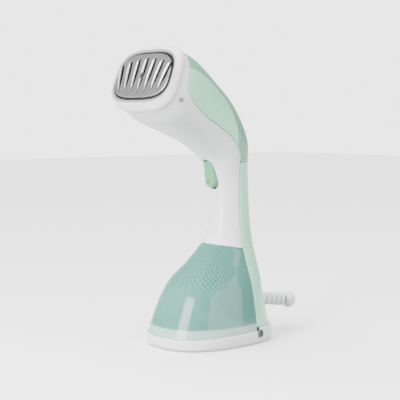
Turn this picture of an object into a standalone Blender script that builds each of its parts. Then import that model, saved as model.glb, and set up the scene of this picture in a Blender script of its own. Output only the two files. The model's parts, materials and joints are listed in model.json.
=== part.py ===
"""Handheld garment steamer: a gooseneck head on a handle, with a clear water tank under it.

Lengths are in millimetres in this script and become metres when a mesh is made.
Y is measured from the split plane, the upright plane where the front and rear halves of the
body meet, and SPLIT_Y moves that plane to its place in the finished frame. The steam plate
faces -Y, the cord leaves towards +Y, and Z is up from the surface the base stands on.
"""
import math

import bpy
import bmesh
from mathutils import Matrix, Vector

# ---------------------------------------------------------------- driving dimensions (mm)
MM = 0.001
SPLIT_Y = 10.55               # where the split plane lies, so that the bounding box is centred
GAP = 0.35                   # clearance between neighbouring pieces
WALL = 2.2                   # moulded shell thickness

PLATE_Y, PLATE_Z = -100.8, 252.2   # centre of the steam plate's face
PLATE_TILT = 22.0            # degrees that the plate leans back from upright
RING_HALF = (43.0, 25.6)     # half width and half height of the trim ring
SLOT_COUNT = 7
PLATE_FACE = 2.4             # how far the plate stands above the head's datum plane

SEAM_FRONT, SEAM_SLOPE = (-25.0, 94.0), -0.19   # handle / tank seam: a point on it and dz/dy
JOINT_Z = 172.5              # where the upper and lower rear covers meet
RIM_FRONT, RIM_SLOPE = (-85.0, 10.6), 0.021     # top edge of the base in front of the split
BASE_REAR_HEIGHT = 15.0
BASE_FLOOR = 2.6
BASE_HALF = (46.5, 62.0)
BASE_CENTRE_Y = -23.0
LIP_TOP = 20.0

TRIGGER_PIVOT = (-12.5, 169.5)     # y, z of the trigger's axle
TRIGGER_FOOT_Z = 147.6
GUARD_START = (35.5, 34.8)         # y, z where the cord guard leaves the rear cover
GUARD_DROP = 8.5                   # degrees that the guard points down
BUTTON_Z = 9.5

NOZZLE_X = 4.0
SCREW_PLACES = tuple((x, v) for x in (-27.5, 27.5) for v in (-12.6, 12.6))
SOCKET_LEAN = math.radians(18)
PLUNGER_Z = TRIGGER_PIVOT[1] - 9.0
PUMP_Y, PUMP_Z = -0.5, 128.5
VALVE_Y = -8.5
FILL_Z = 58.0
BUTTON_Y = 3.0
BLOCK_HALF = (34.5, 18.2)
TRIGGER_BACK_Y = -15.2
BRACKET_WEB_Y = -5.0

SUCTION_ROUTE = ((0, VALVE_Y, 101.5), (0, VALVE_Y, 103.0), (0, -5.4, 105.2), (0, -1.4, 106.1),
                 (0, PUMP_Y, 107.0), (0, PUMP_Y, PUMP_Z - 20.5))

# Body sections from the bezel seam down to the base: y, z, pitch of the section's normal below
# horizontal (degrees), half width, half depth, superellipse exponent, taper
BODY_STATIONS = (
    (-93.4, 249.2, 22, 44.2, 31.5, 2.9, 0.05),
    (-77.0, 240.0, 26, 43.0, 34.0, 2.8, 0.03),
    (-55.0, 227.0, 34, 38.5, 31.5, 2.6, 0.00),
    (-28.5, 209.8, 48, 31.0, 29.0, 2.4, 0.00),
    (-6.7, 185.5, 66, 23.3, 24.8, 2.3, 0.00),
    (0.1, 158.0, 80, 18.0, 20.1, 2.2, 0.00),
    (2.0, 132.0, 88, 17.3, 19.9, 2.2, 0.00),
    (1.9, 108.0, 90, 18.8, 22.0, 2.2, 0.00),
    (-1.1, 92.0, 90, 22.4, 27.0, 2.2, 0.00),
    (-7.5, 75.5, 90, 28.4, 36.2, 2.3, 0.00),
    (-16.5, 57.0, 90, 36.5, 47.6, 2.4, 0.00),
    (-21.8, 34.0, 90, 42.2, 54.6, 2.5, 0.00),
    (-23.5, 9.0, 90, 45.8, 62.0, 2.6, 0.00),
)
# Edge between the white front shell and the green rear covers: y, z
SPLIT_OUTLINE = (
    (-75.0, 288.0), (-80.5, 268.0), (-84.0, 251.0), (-84.5, 240.0), (-80.0, 231.0), (-69.0, 222.5),
    (-54.5, 214.0), (-36.5, 206.0), (-20.0, 197.5), (-10.5, 190.0), (-4.0, 181.0), (-1.5, 170.0),
    (0.0, 152.0),
)

AROUND = 32                  # points round a body section
STEPS_PER_STATION = 2


# ---------------------------------------------------------------- helpers
def clear_scene():
    for item in list(bpy.data.objects):
        bpy.data.objects.remove(item, do_unlink=True)


def make_material(name, colour, roughness, metallic=0.0, alpha=1.0):
    material = bpy.data.materials.new(name)
    material.use_nodes = True
    shader = material.node_tree.nodes["Principled BSDF"]
    shader.inputs["Base Color"].default_value = (*colour, 1.0)
    shader.inputs["Roughness"].default_value = roughness
    shader.inputs["Metallic"].default_value = metallic
    shader.inputs["Alpha"].default_value = alpha
    return material


def mesh_object(name, points, faces, material, parent=None):
    """One named object from points in mm; under the head frame they are the head's own axes."""
    offset = Vector((0, 0, 0)) if parent else Vector((0, SPLIT_Y, 0))
    mesh = bpy.data.meshes.new(name)
    mesh.from_pydata([(Vector(p) + offset) * MM for p in points], [], faces)
    work = bmesh.new()
    work.from_mesh(mesh)
    bmesh.ops.recalc_face_normals(work, faces=work.faces)
    work.to_mesh(mesh)
    work.free()
    mesh.materials.append(material)
    item = bpy.data.objects.new(name, mesh)
    bpy.context.collection.objects.link(item)
    item.parent = parent
    return item


def smooth(item, angle=32):
    item.data.shade_smooth()
    item.data.set_sharp_from_angle(angle=math.radians(angle))
    return item


def loft(name, rings, material, parent=None):
    """A closed solid through rings of equal point count, capped at both ends."""
    count = len(rings[0])
    points = [p for ring in rings for p in ring]
    faces = [list(range(count)), list(range(len(points) - count, len(points)))]
    for row in range(len(rings) - 1):
        for i in range(count):
            a, b = row * count + i, row * count + (i + 1) % count
            faces.append((a, b, b + count, a + count))
    return mesh_object(name, points, faces, material, parent)


def wall_loft(name, outer, inner, material, parent=None):
    """An open-ended wall: outer and inner rings joined at both ends."""
    rings = outer + inner[::-1]
    count = len(rings[0])
    points = [p for ring in rings for p in ring]
    faces = []
    for row in range(len(rings)):
        after = (row + 1) % len(rings)
        for i in range(count):
            j = (i + 1) % count
            faces.append((row * count + i, row * count + j, after * count + j, after * count + i))
    return mesh_object(name, points, faces, material, parent)


def prism(name, outline, half_width, material=None, parent=None):
    """A y, z outline extruded from -half_width to +half_width along X."""
    rings = [[(x, y, z) for y, z in outline] for x in (-half_width, half_width)]
    return loft(name, rings, material or STOCK["guide"], parent)


def box(name, low, high, material, parent=None):
    outline = [(low[1], low[2]), (high[1], low[2]), (high[1], high[2]), (low[1], high[2])]
    rings = [[(x, y, z) for y, z in outline] for x in (low[0], high[0])]
    return loft(name, rings, material, parent)


def turned(name, origin, axis, profile, material, sides=24, parent=None):
    """A solid of revolution from (distance along the axis, radius) steps."""
    along = Vector(axis).normalized()
    across = along.orthogonal().normalized()
    third = along.cross(across)
    rings = []
    for distance, radius in profile:
        ring = []
        for i in range(sides):
            turn = math.tau * i / sides
            spoke = across * math.cos(turn) + third * math.sin(turn)
            ring.append(Vector(origin) + along * distance + spoke * radius)
        rings.append(ring)
    return smooth(loft(name, rings, material, parent))


def turned_wall(name, origin, axis, outer, inner, material, sides=24, parent=None):
    """A hollow turned piece, open at both ends."""
    shell = turned(name, origin, axis, outer, material, sides, parent)
    bore = turned("bore", origin, axis, inner, STOCK["guide"], sides, parent)
    return smooth(carve(shell, bore))


def wire(name, points, radius, material, sides_level=2):
    """A round rod along points, as a capped curve."""
    curve = bpy.data.curves.new(name, "CURVE")
    curve.dimensions = "3D"
    curve.bevel_depth = radius * MM
    curve.bevel_resolution = sides_level
    curve.use_fill_caps = True
    spline = curve.splines.new("POLY")
    spline.points.add(len(points) - 1)
    for target, point in zip(spline.points, points):
        target.co = (*((Vector(point) + Vector((0, SPLIT_Y, 0))) * MM), 1.0)
    curve.materials.append(material)
    item = bpy.data.objects.new(name, curve)
    bpy.context.collection.objects.link(item)
    return item


def coil(name, origin, axis, radius, length, turns, material):
    """A compression spring of round wire."""
    along = Vector(axis).normalized()
    across = along.orthogonal().normalized()
    third = along.cross(across)
    per_turn = 10
    points = []
    for i in range(turns * per_turn + 1):
        turn = math.tau * i / per_turn
        travel = length * i / (turns * per_turn)
        spoke = across * math.cos(turn) + third * math.sin(turn)
        points.append(Vector(origin) + along * travel + spoke * radius)
    return wire(name, points, 0.35, material, sides_level=0)


def carve(target, cutter, operation="DIFFERENCE"):
    """Cut, join or intersect with another closed solid, which is used up."""
    modifier = target.modifiers.new("carve", "BOOLEAN")
    modifier.operation = operation
    modifier.solver = "EXACT"
    modifier.object = cutter
    bpy.context.view_layer.update()
    evaluated = target.evaluated_get(bpy.context.evaluated_depsgraph_get())
    result = bpy.data.meshes.new_from_object(evaluated)
    target.modifiers.clear()
    target.data = result
    bpy.data.objects.remove(cutter, do_unlink=True)
    return target


def pivot_at(item, point):
    """Move an object's origin to a point in mm without moving its mesh."""
    place = (Vector(point) + Vector((0, SPLIT_Y, 0))) * MM
    item.data.transform(Matrix.Translation(-place))
    item.location = place
    return item


def superellipse(half_x, half_v, exponent, taper=0.0, count=AROUND):
    """Points (x, v) round a superellipse that is wider by taper where v is low."""
    points = []
    for i in range(count):
        turn = math.tau * i / count
        c, s = math.cos(turn), math.sin(turn)
        v = math.copysign(abs(s) ** (2 / exponent), s)
        x = math.copysign(abs(c) ** (2 / exponent), c) * (1 - taper * v)
        points.append((x * half_x, v * half_v))
    return points


def spline_through(rows, steps):
    """Catmull-Rom values through rows of numbers, ends included."""
    result = []
    for i in range(len(rows) - 1):
        before = rows[max(i - 1, 0)]
        after = rows[min(i + 2, len(rows) - 1)]
        for k in range(steps):
            t = k / steps
            row = []
            for a, b, c, d in zip(before, rows[i], rows[i + 1], after):
                bend = 2 * a - 5 * b + 4 * c - d
                twist = 3 * b - a - 3 * c + d
                row.append(0.5 * (2 * b + (c - a) * t + bend * t * t + twist * t ** 3))
            result.append(tuple(row))
    result.append(tuple(rows[-1]))
    return result


def section_ring(station, inset):
    """One section of the body, inset by a wall thickness, as points in mm."""
    y, z, pitch, half_x, half_v, exponent, taper = station
    lean = math.radians(pitch)
    ring = []
    for x, v in superellipse(half_x - inset, half_v - inset, exponent, -taper):
        ring.append((x, y - v * math.sin(lean), z - v * math.cos(lean)))
    return ring


def body_rings(inset=0.0):
    return [section_ring(s, inset) for s in spline_through(BODY_STATIONS, STEPS_PER_STATION)]


def body_wall(name, material):
    return wall_loft(name, body_rings(), body_rings(WALL), material)


def section_at(z, inset=0.0):
    """Level section of the lower body at height z: centre y, half width, half depth, exponent."""
    rows = spline_through(BODY_STATIONS[6:], 8)
    for upper, lower in zip(rows, rows[1:]):
        if upper[1] >= z >= lower[1]:
            share = (upper[1] - z) / (upper[1] - lower[1])
            y, _, _, half_x, half_v, exponent, _ = (
                a + (b - a) * share for a, b in zip(upper, lower))
            return y, half_x - inset, half_v - inset, exponent
    y, _, _, half_x, half_v, exponent, _ = rows[-1]
    return y, half_x - inset, half_v - inset, exponent


def level_ring(z, inset=0.0):
    """Level ring of the lower body at height z."""
    y, half_x, half_v, exponent = section_at(z, inset)
    return [(x, y - v, z) for x, v in superellipse(half_x, half_v, exponent)]


def seam_z(y):
    return SEAM_FRONT[1] + (y - SEAM_FRONT[0]) * SEAM_SLOPE


def head_axes():
    """Empty at the steam plate's centre: X across, Y up the plate, Z out of it."""
    frame = bpy.data.objects.new("head_frame", None)
    bpy.context.collection.objects.link(frame)
    frame.location = Vector((0, PLATE_Y + SPLIT_Y, PLATE_Z)) * MM
    frame.rotation_euler = (math.radians(90 - PLATE_TILT), 0, 0)
    bpy.context.view_layer.update()
    return frame


def head_ring(half, w, exponent=3.2, taper=0.04, count=AROUND):
    """Ring round the head's axis at distance w in front of the plate's face."""
    return [(x, v, w) for x, v in superellipse(half[0], half[1], exponent, taper, count)]


def grow(half, amount):
    return half[0] + amount, half[1] + amount


# ---------------------------------------------------------------- body shells
def front_region():
    """Everything in front of the split, down to the handle / tank seam."""
    edge = spline_through(SPLIT_OUTLINE, 3)
    foot = [(0.0, seam_z(0.0)), (-60.0, seam_z(-60.0))]
    return edge + foot + [(-140.0, 150.0), (-140.0, 300.0), (-80.0, 310.0)]


def rear_region(low, high):
    """Everything behind the split between two heights."""
    edge = [(y + GAP, z + GAP) for y, z in spline_through(SPLIT_OUTLINE, 3)]
    kept = [(y, z) for y, z in edge if low < z < high]
    foot_y = kept[-1][0]
    return kept + [(foot_y, low), (90.0, low), (90.0, high), (kept[0][0], high)]


def rim_z(y):
    """Height of the base's top edge in front of the split."""
    return RIM_FRONT[1] + (y - RIM_FRONT[0]) * RIM_SLOPE


def front_shell():
    shell = body_wall("front_shell", STOCK["white"])
    carve(shell, prism("region", front_region(), 80), "INTERSECT")
    opening = trigger_prism("opening", 0.55, (-45.0, TRIGGER_PIVOT[0]), 1.2)
    carve(shell, opening)
    for side in (-1, 1):
        origin, axis = socket_place(side)
        carve(shell, turned("hole", origin, axis, ((-8, 2.5), (4, 2.5)), STOCK["guide"], 16, HEAD))
    return smooth(shell)


def back_cover():
    cover = body_wall("back_cover", STOCK["green"])
    carve(cover, prism("region", rear_region(JOINT_Z + GAP, 320.0), 80), "INTERSECT")
    return smooth(cover)


def rear_cover():
    cover = body_wall("rear_cover", STOCK["green"])
    region = rear_region(BASE_REAR_HEIGHT + GAP, JOINT_Z)
    carve(cover, prism("region", region, 80), "INTERSECT")
    bush = turned("bush_hole", guard_point(-14), guard_axis(), ((0, 9.2), (30, 9.2)), STOCK["guide"], 32)
    carve(cover, bush)
    return smooth(cover)


def chassis_plate():
    """Upright partition behind the tank, inside the rear cover."""
    low, high = BASE_REAR_HEIGHT + 2.0, 84.0
    heights = [low + (high - low) * i / 8 for i in range(9)]
    half = [half_width_at(z, GAP) - WALL - 1.3 for z in heights]
    right = list(zip(half, heights))
    outline = right + [(-x, z) for x, z in right[::-1]]
    rings = [[(x, y, z) for x, z in outline] for y in (GAP + 0.4, GAP + 2.4)]
    return loft("chassis_plate", rings, STOCK["white"])


def half_width_at(z, y):
    """Half width of the body at height z, on the upright plane at y."""
    centre, half_x, half_v, exponent = section_at(z)
    share = min(abs(y - centre) / half_v, 1.0)
    return half_x * (1 - share ** exponent) ** (1 / exponent)


def handle_bulkhead():
    """Sloping floor that closes the handle above the tank, with the suction port's hole."""
    thick = 2.0
    outline = []
    for x, v in superellipse(18.2, 20.4, 2.2, count=32):
        outline.append((x, -1.0 - v))
    rings = []
    for lift in (2.6, 2.6 + thick):
        rings.append([(x, y, seam_z(y) + lift) for x, y in outline])
    plate = loft("handle_bulkhead", rings, STOCK["white"])
    port = turned("port", (0, VALVE_Y, 80), (0, 0, 1), ((0, 4.0), (30, 4.0)), STOCK["guide"])
    carve(plate, port)
    passage = box("passage", (-8, 7, 80), (8, 14, 110), STOCK["guide"])
    return carve(plate, passage)


# ---------------------------------------------------------------- head
def head_bezel():
    flare = ((-7.65, 44.1, 31.4), (-4.0, 44.3, 30.4), (-1.0, 44.3, 28.6), (0.4, 44.0, 27.2), (1.2, 43.7, 26.4))
    outer = [head_ring((x, v), w, 3.0, 0.045) for w, x, v in flare]
    throat = grow(RING_HALF, GAP)
    inner = [head_ring((41.6, 28.2), w, 3.0, 0.045) for w in (-7.65, -6.2)]
    inner += [head_ring(throat, w) for w in (-4.6, 0.2, 1.2)]
    return smooth(wall_loft("head_bezel", outer, inner, STOCK["white"], HEAD))


def trim_ring():
    outer = [head_ring(RING_HALF, -4.0), head_ring(RING_HALF, 0.7), head_ring(grow(RING_HALF, -0.7), 1.3)]
    inner = [head_ring(grow(RING_HALF, -2.1), w) for w in (-4.0, 0.6, 1.3)]
    return smooth(wall_loft("trim_ring", outer, inner, STOCK["grey"], HEAD))


def plate_gasket():
    outer = [head_ring(grow(RING_HALF, -2.5), w) for w in (-6.0, 1.5)]
    inner = [head_ring(grow(RING_HALF, -3.7), w) for w in (-6.0, 1.5)]
    return smooth(wall_loft("plate_gasket", outer, inner, STOCK["seal"], HEAD))


def slot_place(index):
    """Foot and top of steam slot index on the plate: they fan out towards the top."""
    number = index - SLOT_COUNT // 2
    reach = 18.0 - 1.1 * abs(number) ** 1.5
    foot_drop = 17.6 - 0.3 * abs(number)
    return (number * 9.6, -foot_drop), (number * 12.0, reach)


def steam_plate():
    plate_half = grow(RING_HALF, -4.05)
    rings = [head_ring(plate_half, PLATE_FACE - 2.0), head_ring(plate_half, PLATE_FACE - 0.4)]
    rings.append(head_ring(grow(plate_half, -0.6), PLATE_FACE))
    plate = loft("steam_plate", rings, STOCK["steel"], HEAD)
    for index in range(SLOT_COUNT):
        (x0, v0), (x1, v1) = slot_place(index)
        half = 0.95
        outline = [(x0 - half, v0), (x0 + half, v0), (x1 + half, v1), (x1 - half, v1)]
        slot = [[(x, v, w) for x, v in outline] for w in (-4.0, 6.0)]
        carve(plate, loft("slot", slot, STOCK["guide"], HEAD))
    carve(plate, turned("hole", (0, 0, -5), (0, 0, 1), ((0, 1.4), (12, 1.4)), STOCK["guide"], 14, HEAD))
    counterbore = turned("counterbore", (0, 0, PLATE_FACE - 1.3), (0, 0, 1), ((0, 2.7), (5, 2.7)),
                         STOCK["guide"], 14, HEAD)
    return smooth(carve(plate, counterbore))


def plate_screw():
    """Screw whose head sits in the plate's counterbore, just under its face."""
    seat, top = PLATE_FACE - 0.95, PLATE_FACE - 0.1
    profile = ((-9.0, 1.0), (seat, 1.0), (seat, 2.3), (top - 0.25, 2.2), (top, 1.5))
    return turned("plate_screw", (0, 0, 0), (0, 0, 1), profile, STOCK["steel"], 14, HEAD)


def steam_chamber():
    """Cast block behind the plate with a pocket where the water boils."""
    front = PLATE_FACE - 2.0 - GAP
    block = loft("steam_chamber", [head_ring(BLOCK_HALF, front), head_ring(BLOCK_HALF, -17.0)], STOCK["cast"], HEAD)
    pocket = loft("pocket", [head_ring((20, 7.6), -8.5), head_ring((20, 7.6), -20.0)], STOCK["guide"], HEAD)
    carve(block, pocket)
    for x in (-12.0, 0.6, 13.0):
        passage = turned("passage", (x, -3, -12), (0, 0, 1), ((0, 1.6), (16, 1.6)), STOCK["guide"], 12, HEAD)
        carve(block, passage)
    for x, v in SCREW_PLACES:
        hole = turned("hole", (x, v, -24), (0, 0, 1), ((0, 1.6), (14, 1.6)), STOCK["guide"], 12, HEAD)
        carve(block, hole)
    hole = turned("hole", (0, 0, -9.6), (0, 0, 1), ((0, 1.4), (14, 1.4)), STOCK["guide"], 14, HEAD)
    return carve(block, hole)


def chamber_seal():
    outer = [head_ring((24.5, 11.4), w) for w in (-17.35, -18.45)]
    inner = [head_ring((22.0, 9.2), w) for w in (-17.35, -18.45)]
    return wall_loft("chamber_seal", outer, inner, STOCK["seal"], HEAD)


def chamber_cover():
    cover = loft("chamber_cover", [head_ring(BLOCK_HALF, -18.8), head_ring(BLOCK_HALF, -22.2)], STOCK["cast"], HEAD)
    nozzle = turned("nozzle", (NOZZLE_X, -4, -20), (0, 0, -1), ((0, 3.2), (9, 3.2)), STOCK["cast"], 16, HEAD)
    carve(cover, nozzle, "UNION")
    bore = turned("bore", (NOZZLE_X, -4, -16), (0, 0, -1), ((0, 1.6), (20, 1.6)), STOCK["guide"], 12, HEAD)
    carve(cover, bore)
    for x, v in SCREW_PLACES:
        hole = turned("hole", (x, v, -24), (0, 0, 1), ((0, 1.6), (8, 1.6)), STOCK["guide"], 12, HEAD)
        carve(cover, hole)
    return cover


def chamber_screw(index):
    x, v = SCREW_PLACES[index]
    profile = ((0, 1.25), (12.5, 1.25), (12.5, 2.5), (14.0, 2.5))
    origin = (x, v, -22.55 + 12.5)
    return turned(f"chamber_screw_{index + 1}", origin, (0, 0, -1), profile, STOCK["steel"], 12, HEAD)


def heating_element():
    """Sheathed element clamped in a U round the chamber, open at the lower side."""
    ring = superellipse(BLOCK_HALF[0] + 2.3, BLOCK_HALF[1] + 2.3, 3.2, 0.04)
    start = -AROUND // 8
    points = []
    for i in range(start, AROUND // 2 - start + 1):
        x, v = ring[i % AROUND]
        points.append(head_to_body((x, v, -10.5)))
    return wire("heating_element", points, 1.6, STOCK["steel"], sides_level=1)


def head_to_body(point):
    """A point in the head's own axes, as body coordinates in mm."""
    return (HEAD.matrix_world @ (Vector(point) * MM)) / MM - Vector((0, SPLIT_Y, 0))


def thermostat():
    profile = ((0, 7.2), (3.2, 7.2), (3.2, 5.6), (7.0, 5.6))
    return turned("thermostat", (-12, 2, -22.55), (0, 0, -1), profile, STOCK["steel"], 20, HEAD)


def thermal_fuse():
    profile = ((-6.0, 0.6), (-4.5, 0.6), (-4.5, 2.0), (4.5, 2.0), (4.5, 0.6), (6.0, 0.6))
    return turned("thermal_fuse", (20, 6, -24.8), (1, 0, 0), profile, STOCK["grey"], 12, HEAD)


def socket_place(side):
    """Where a brush socket sits on the head's side, in the head's axes: origin and axis."""
    return (side * 41.6, -16.6, -16.0), (side * math.cos(SOCKET_LEAN), -math.sin(SOCKET_LEAN), 0)


def brush_socket(side, name):
    origin, axis = socket_place(side)
    profile = ((-3.0, 2.15), (1.9, 2.15), (2.3, 1.6))
    return turned(name, origin, axis, profile, STOCK["grey"], 16, HEAD)


# ---------------------------------------------------------------- trigger and switch
def trigger_outline(swell=0.0):
    """Teardrop in x, z: narrow at the top, round at the foot."""
    centre_z, radius = TRIGGER_FOOT_Z + 6.6, 6.6 + swell
    top_z, top_radius = TRIGGER_PIVOT[1] - 1.2, 6.2 + swell
    points = []
    for i in range(13):
        turn = math.radians(190 + 160 * i / 12)
        points.append((radius * math.cos(turn), centre_z + radius * math.sin(turn)))
    for i in range(7):
        turn = math.radians(4 + 172 * i / 6)
        points.append((top_radius * math.cos(turn), top_z + top_radius * math.sin(turn)))
    return points


def trigger_prism(name, swell, y_range, foot_extra=0.0, material=None):
    outline = trigger_outline(swell)
    if foot_extra:
        outline = [(x, z - foot_extra if z < TRIGGER_FOOT_Z + 6.6 else z) for x, z in outline]
    rings = [[(x, y, z) for x, z in outline] for y in y_range]
    return loft(name, rings, material or STOCK["guide"])


def trigger_face_y(z):
    """The finger face is upright at its foot and sweeps out to follow the neck at its top."""
    return -24.2 - 0.0045 * (z - TRIGGER_FOOT_Z) ** 2


def trigger():
    """Finger pad with a lug at the top for its axle."""
    outline = trigger_outline()
    middle_z = TRIGGER_FOOT_Z + 11.0
    rings = [[(x, TRIGGER_BACK_Y, z) for x, z in outline]]
    for shrink, behind in ((0.0, 2.4), (0.10, 0.8), (0.32, 0.0)):
        ring = []
        for x, z in outline:
            height = middle_z + (z - middle_z) * (1 - shrink * 0.5)
            ring.append((x * (1 - shrink), trigger_face_y(height) + behind, height))
        rings.append(ring)
    pad = loft("trigger", rings, STOCK["mint"])
    pivot_y, pivot_z = TRIGGER_PIVOT
    lug_radius = 3.0
    lug_outline = []
    for i in range(9):
        turn = math.radians(22.5 * i - 90)
        lug_outline.append((pivot_y + lug_radius * math.cos(turn), pivot_z + lug_radius * math.sin(turn)))
    lug_outline += [(TRIGGER_BACK_Y - 4, pivot_z + lug_radius), (TRIGGER_BACK_Y - 4, pivot_z - lug_radius)]
    carve(pad, prism("lug", lug_outline, 1.8), "UNION")
    hole = turned("hole", (-10, pivot_y, pivot_z), (1, 0, 0), ((0, 1.6), (20, 1.6)), STOCK["guide"], 14)
    carve(pad, hole)
    return pivot_at(smooth(pad), (0, pivot_y, pivot_z))


def trigger_bracket():
    """U-shaped carrier: its ears hold the trigger's axle and its web backs the switch."""
    pivot_y, pivot_z = TRIGGER_PIVOT
    outline = [(-3.6, 148.5), (-3.6, 173.0), (-15.8, 173.0), (-15.8, 166.5), (-12.4, 158.0), (-12.4, 148.5)]
    bracket = prism("trigger_bracket", outline, 9.4, STOCK["white"])
    carve(bracket, box("inside", (-7.9, -30, 140), (7.9, BRACKET_WEB_Y, 180), STOCK["guide"]))
    hole = turned("hole", (-15, pivot_y, pivot_z), (1, 0, 0), ((0, 1.6), (30, 1.6)), STOCK["guide"], 14)
    return carve(bracket, hole)


def trigger_pin():
    return turned("trigger_pin", (-9.4, *TRIGGER_PIVOT), (1, 0, 0), ((0, 1.25), (18.8, 1.25)), STOCK["steel"], 14)


def trigger_spring():
    start = TRIGGER_BACK_Y + 0.7
    length = BRACKET_WEB_Y - 0.7 - start
    return coil("trigger_spring", (0, start, TRIGGER_FOOT_Z + 4.5), (0, 1, 0), 1.9, length, 5, STOCK["steel"])


def microswitch():
    """Switch body with a well for its plunger."""
    body = box("microswitch", (-3.2, -10.5, 156.0), (3.2, BRACKET_WEB_Y - GAP, 166.0), STOCK["seal"])
    well = turned("well", (0, -14, PLUNGER_Z), (0, 1, 0), ((0, 1.55), (7, 1.55)), STOCK["guide"], 14)
    return carve(body, well)


def switch_plunger():
    tip = TRIGGER_BACK_Y + GAP
    plunger = turned("switch_plunger", (0, tip, PLUNGER_Z), (0, 1, 0), ((0, 1.2), (5.6, 1.2)), STOCK["mint"], 12)
    return pivot_at(plunger, (0, tip, PLUNGER_Z))


# ---------------------------------------------------------------- pump, hoses and wiring
def pump_yoke():
    """Steel strap round the coil."""
    low, high, y = PUMP_Z - 13.0, PUMP_Z + 13.0, PUMP_Y
    strap = box("pump_yoke", (-9.0, y - 11.6, low), (9.0, y + 11.6, high), STOCK["steel"])
    carve(strap, box("window", (-20, y - 10.2, low + 1.4), (20, y + 10.2, high - 1.4), STOCK["guide"]))
    hole = turned("hole", (0, y, low - 5), (0, 0, 1), ((0, 3.9), (40, 3.9)), STOCK["guide"], 20)
    return carve(strap, hole)


def pump_coil():
    height = 11.2
    outer = ((-height, 9.6), (-height + 1.2, 9.6), (-height + 1.2, 8.6), (height - 1.2, 8.6),
             (height - 1.2, 9.6), (height, 9.6))
    inner = ((-height - 2, 3.9), (height + 2, 3.9))
    return turned_wall("pump_coil", (0, PUMP_Y, PUMP_Z), (0, 0, 1), outer, inner, STOCK["copper"], 20)


def pump_tube():
    """Guide tube through the coil, with hose barbs at both ends."""
    outer = ((-20.0, 2.2), (-14.0, 2.2), (-13.5, 3.5), (14.0, 3.5), (14.5, 2.2), (20.0, 2.2))
    tube = turned("pump_tube", (0, PUMP_Y, PUMP_Z), (0, 0, 1), outer, STOCK["white"], 20)
    bore = turned("bore", (0, PUMP_Y, PUMP_Z), (0, 0, 1), ((-12.0, 2.5), (12.0, 2.5)), STOCK["guide"], 16)
    carve(tube, bore)
    ways = turned("ways", (0, PUMP_Y, PUMP_Z), (0, 0, 1), ((-22.0, 1.2), (22.0, 1.2)), STOCK["guide"], 12)
    return smooth(carve(tube, ways))


def pump_piston():
    piston = turned("pump_piston", (0, PUMP_Y, PUMP_Z - 9), (0, 0, 1), ((0, 2.15), (15, 2.15)), STOCK["steel"], 14)
    return pivot_at(piston, (0, PUMP_Y, PUMP_Z - 9))


def pump_spring():
    """Return spring between the piston and the top of the tube's bore."""
    start = PUMP_Z + 6.0 + 0.7
    length = PUMP_Z + 12.0 - 0.7 - start
    return coil("pump_spring", (0, PUMP_Y, start), (0, 0, 1), 1.6, length, 4, STOCK["steel"])


def hose(name, route, steps):
    """Silicone hose along a smooth line through the route's points."""
    return wire(name, spline_through(route, steps), 2.2, STOCK["hose"], sides_level=1)


def delivery_route():
    """From the chamber's nozzle down the neck to the top of the pump."""
    start = head_to_body((NOZZLE_X, -4, -29.6))
    bends = ((3.0, -62.0, 231.0), (2.0, -38.0, 219.0), (1.0, -14.0, 202.0), (0, 2.0, 181.0), (0, 3.0, 166.0))
    top = PUMP_Z + 20.0 + GAP
    return (tuple(start), *bends, (0, PUMP_Y + 0.6, top + 7.5), (0, PUMP_Y, top + 4.0), (0, PUMP_Y, top))


def suction_port():
    """Spigot that plugs into the tank's valve, with a flange above the bulkhead."""
    floor = seam_z(VALVE_Y) + 5.2
    outer = ((-13.0, 2.6), (0.6, 2.6), (0.6, 5.6), (2.0, 5.6), (2.0, 2.4), (4.6, 2.4))
    inner = ((-20.0, 1.4), (8.0, 1.4))
    return turned_wall("suction_port", (0, VALVE_Y, floor), (0, 0, 1), outer, inner, STOCK["grey"], 14)


def control_board():
    board = box("control_board", (-12, 15.0, 44), (12, 16.6, 80), STOCK["board"])
    parts = (((-9, 9.0, 64), (-1, 15.3, 76)), ((2, 10.5, 48), (9, 15.3, 58)), ((-8, 12.0, 50), (-3, 15.3, 60)))
    for low, high in parts:
        carve(board, box("component", low, high, STOCK["seal"]), "UNION")
    return board


def terminal_block():
    block = box("terminal_block", (-9, 10.0, 22), (9, 17.5, 31), STOCK["white"])
    for x in (-4.5, 4.5):
        bore = turned("bore", (x, 13.75, 15), (0, 0, 1), ((0, 2.0), (20, 2.0)), STOCK["guide"], 12)
        carve(block, bore)
    return block


def mains_lead():
    """The cable's end inside the body, from the guard through the clamp to the terminals."""
    route = ((0, 22.0, 36.8), (0, 19.0, 37.2), (0.3, 16.6, 37.4), (3.2, 14.0, 36.4), (4.5, 13.75, 33.0),
             (4.5, 13.75, 25.0))
    return wire("mains_lead", spline_through(route, 3), 1.5, STOCK["white"], sides_level=1)


def cord_clamp():
    block = box("cord_clamp", (-7.0, 17.9, 32.5), (7.0, 20.7, 42.0), STOCK["grey"])
    bore = turned("bore", (0, 10, 37.15), (0, 1, 0), ((0, 2.1), (20, 2.1)), STOCK["guide"], 12)
    return carve(block, bore)


# ---------------------------------------------------------------- cord guard
def guard_axis():
    drop = math.radians(GUARD_DROP)
    return Vector((0, math.cos(drop), -math.sin(drop)))


def guard_point(distance):
    return Vector((0, *GUARD_START)) + guard_axis() * distance


def guard_bush():
    """Ring in the rear cover in which the guard swivels."""
    outer = ((-9.0, 8.8), (1.5, 8.8), (2.3, 8.0))
    return turned_wall("guard_bush", guard_point(0), guard_axis(), outer, ((-12, 4.6), (8, 4.6)), STOCK["white"], 28)


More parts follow.
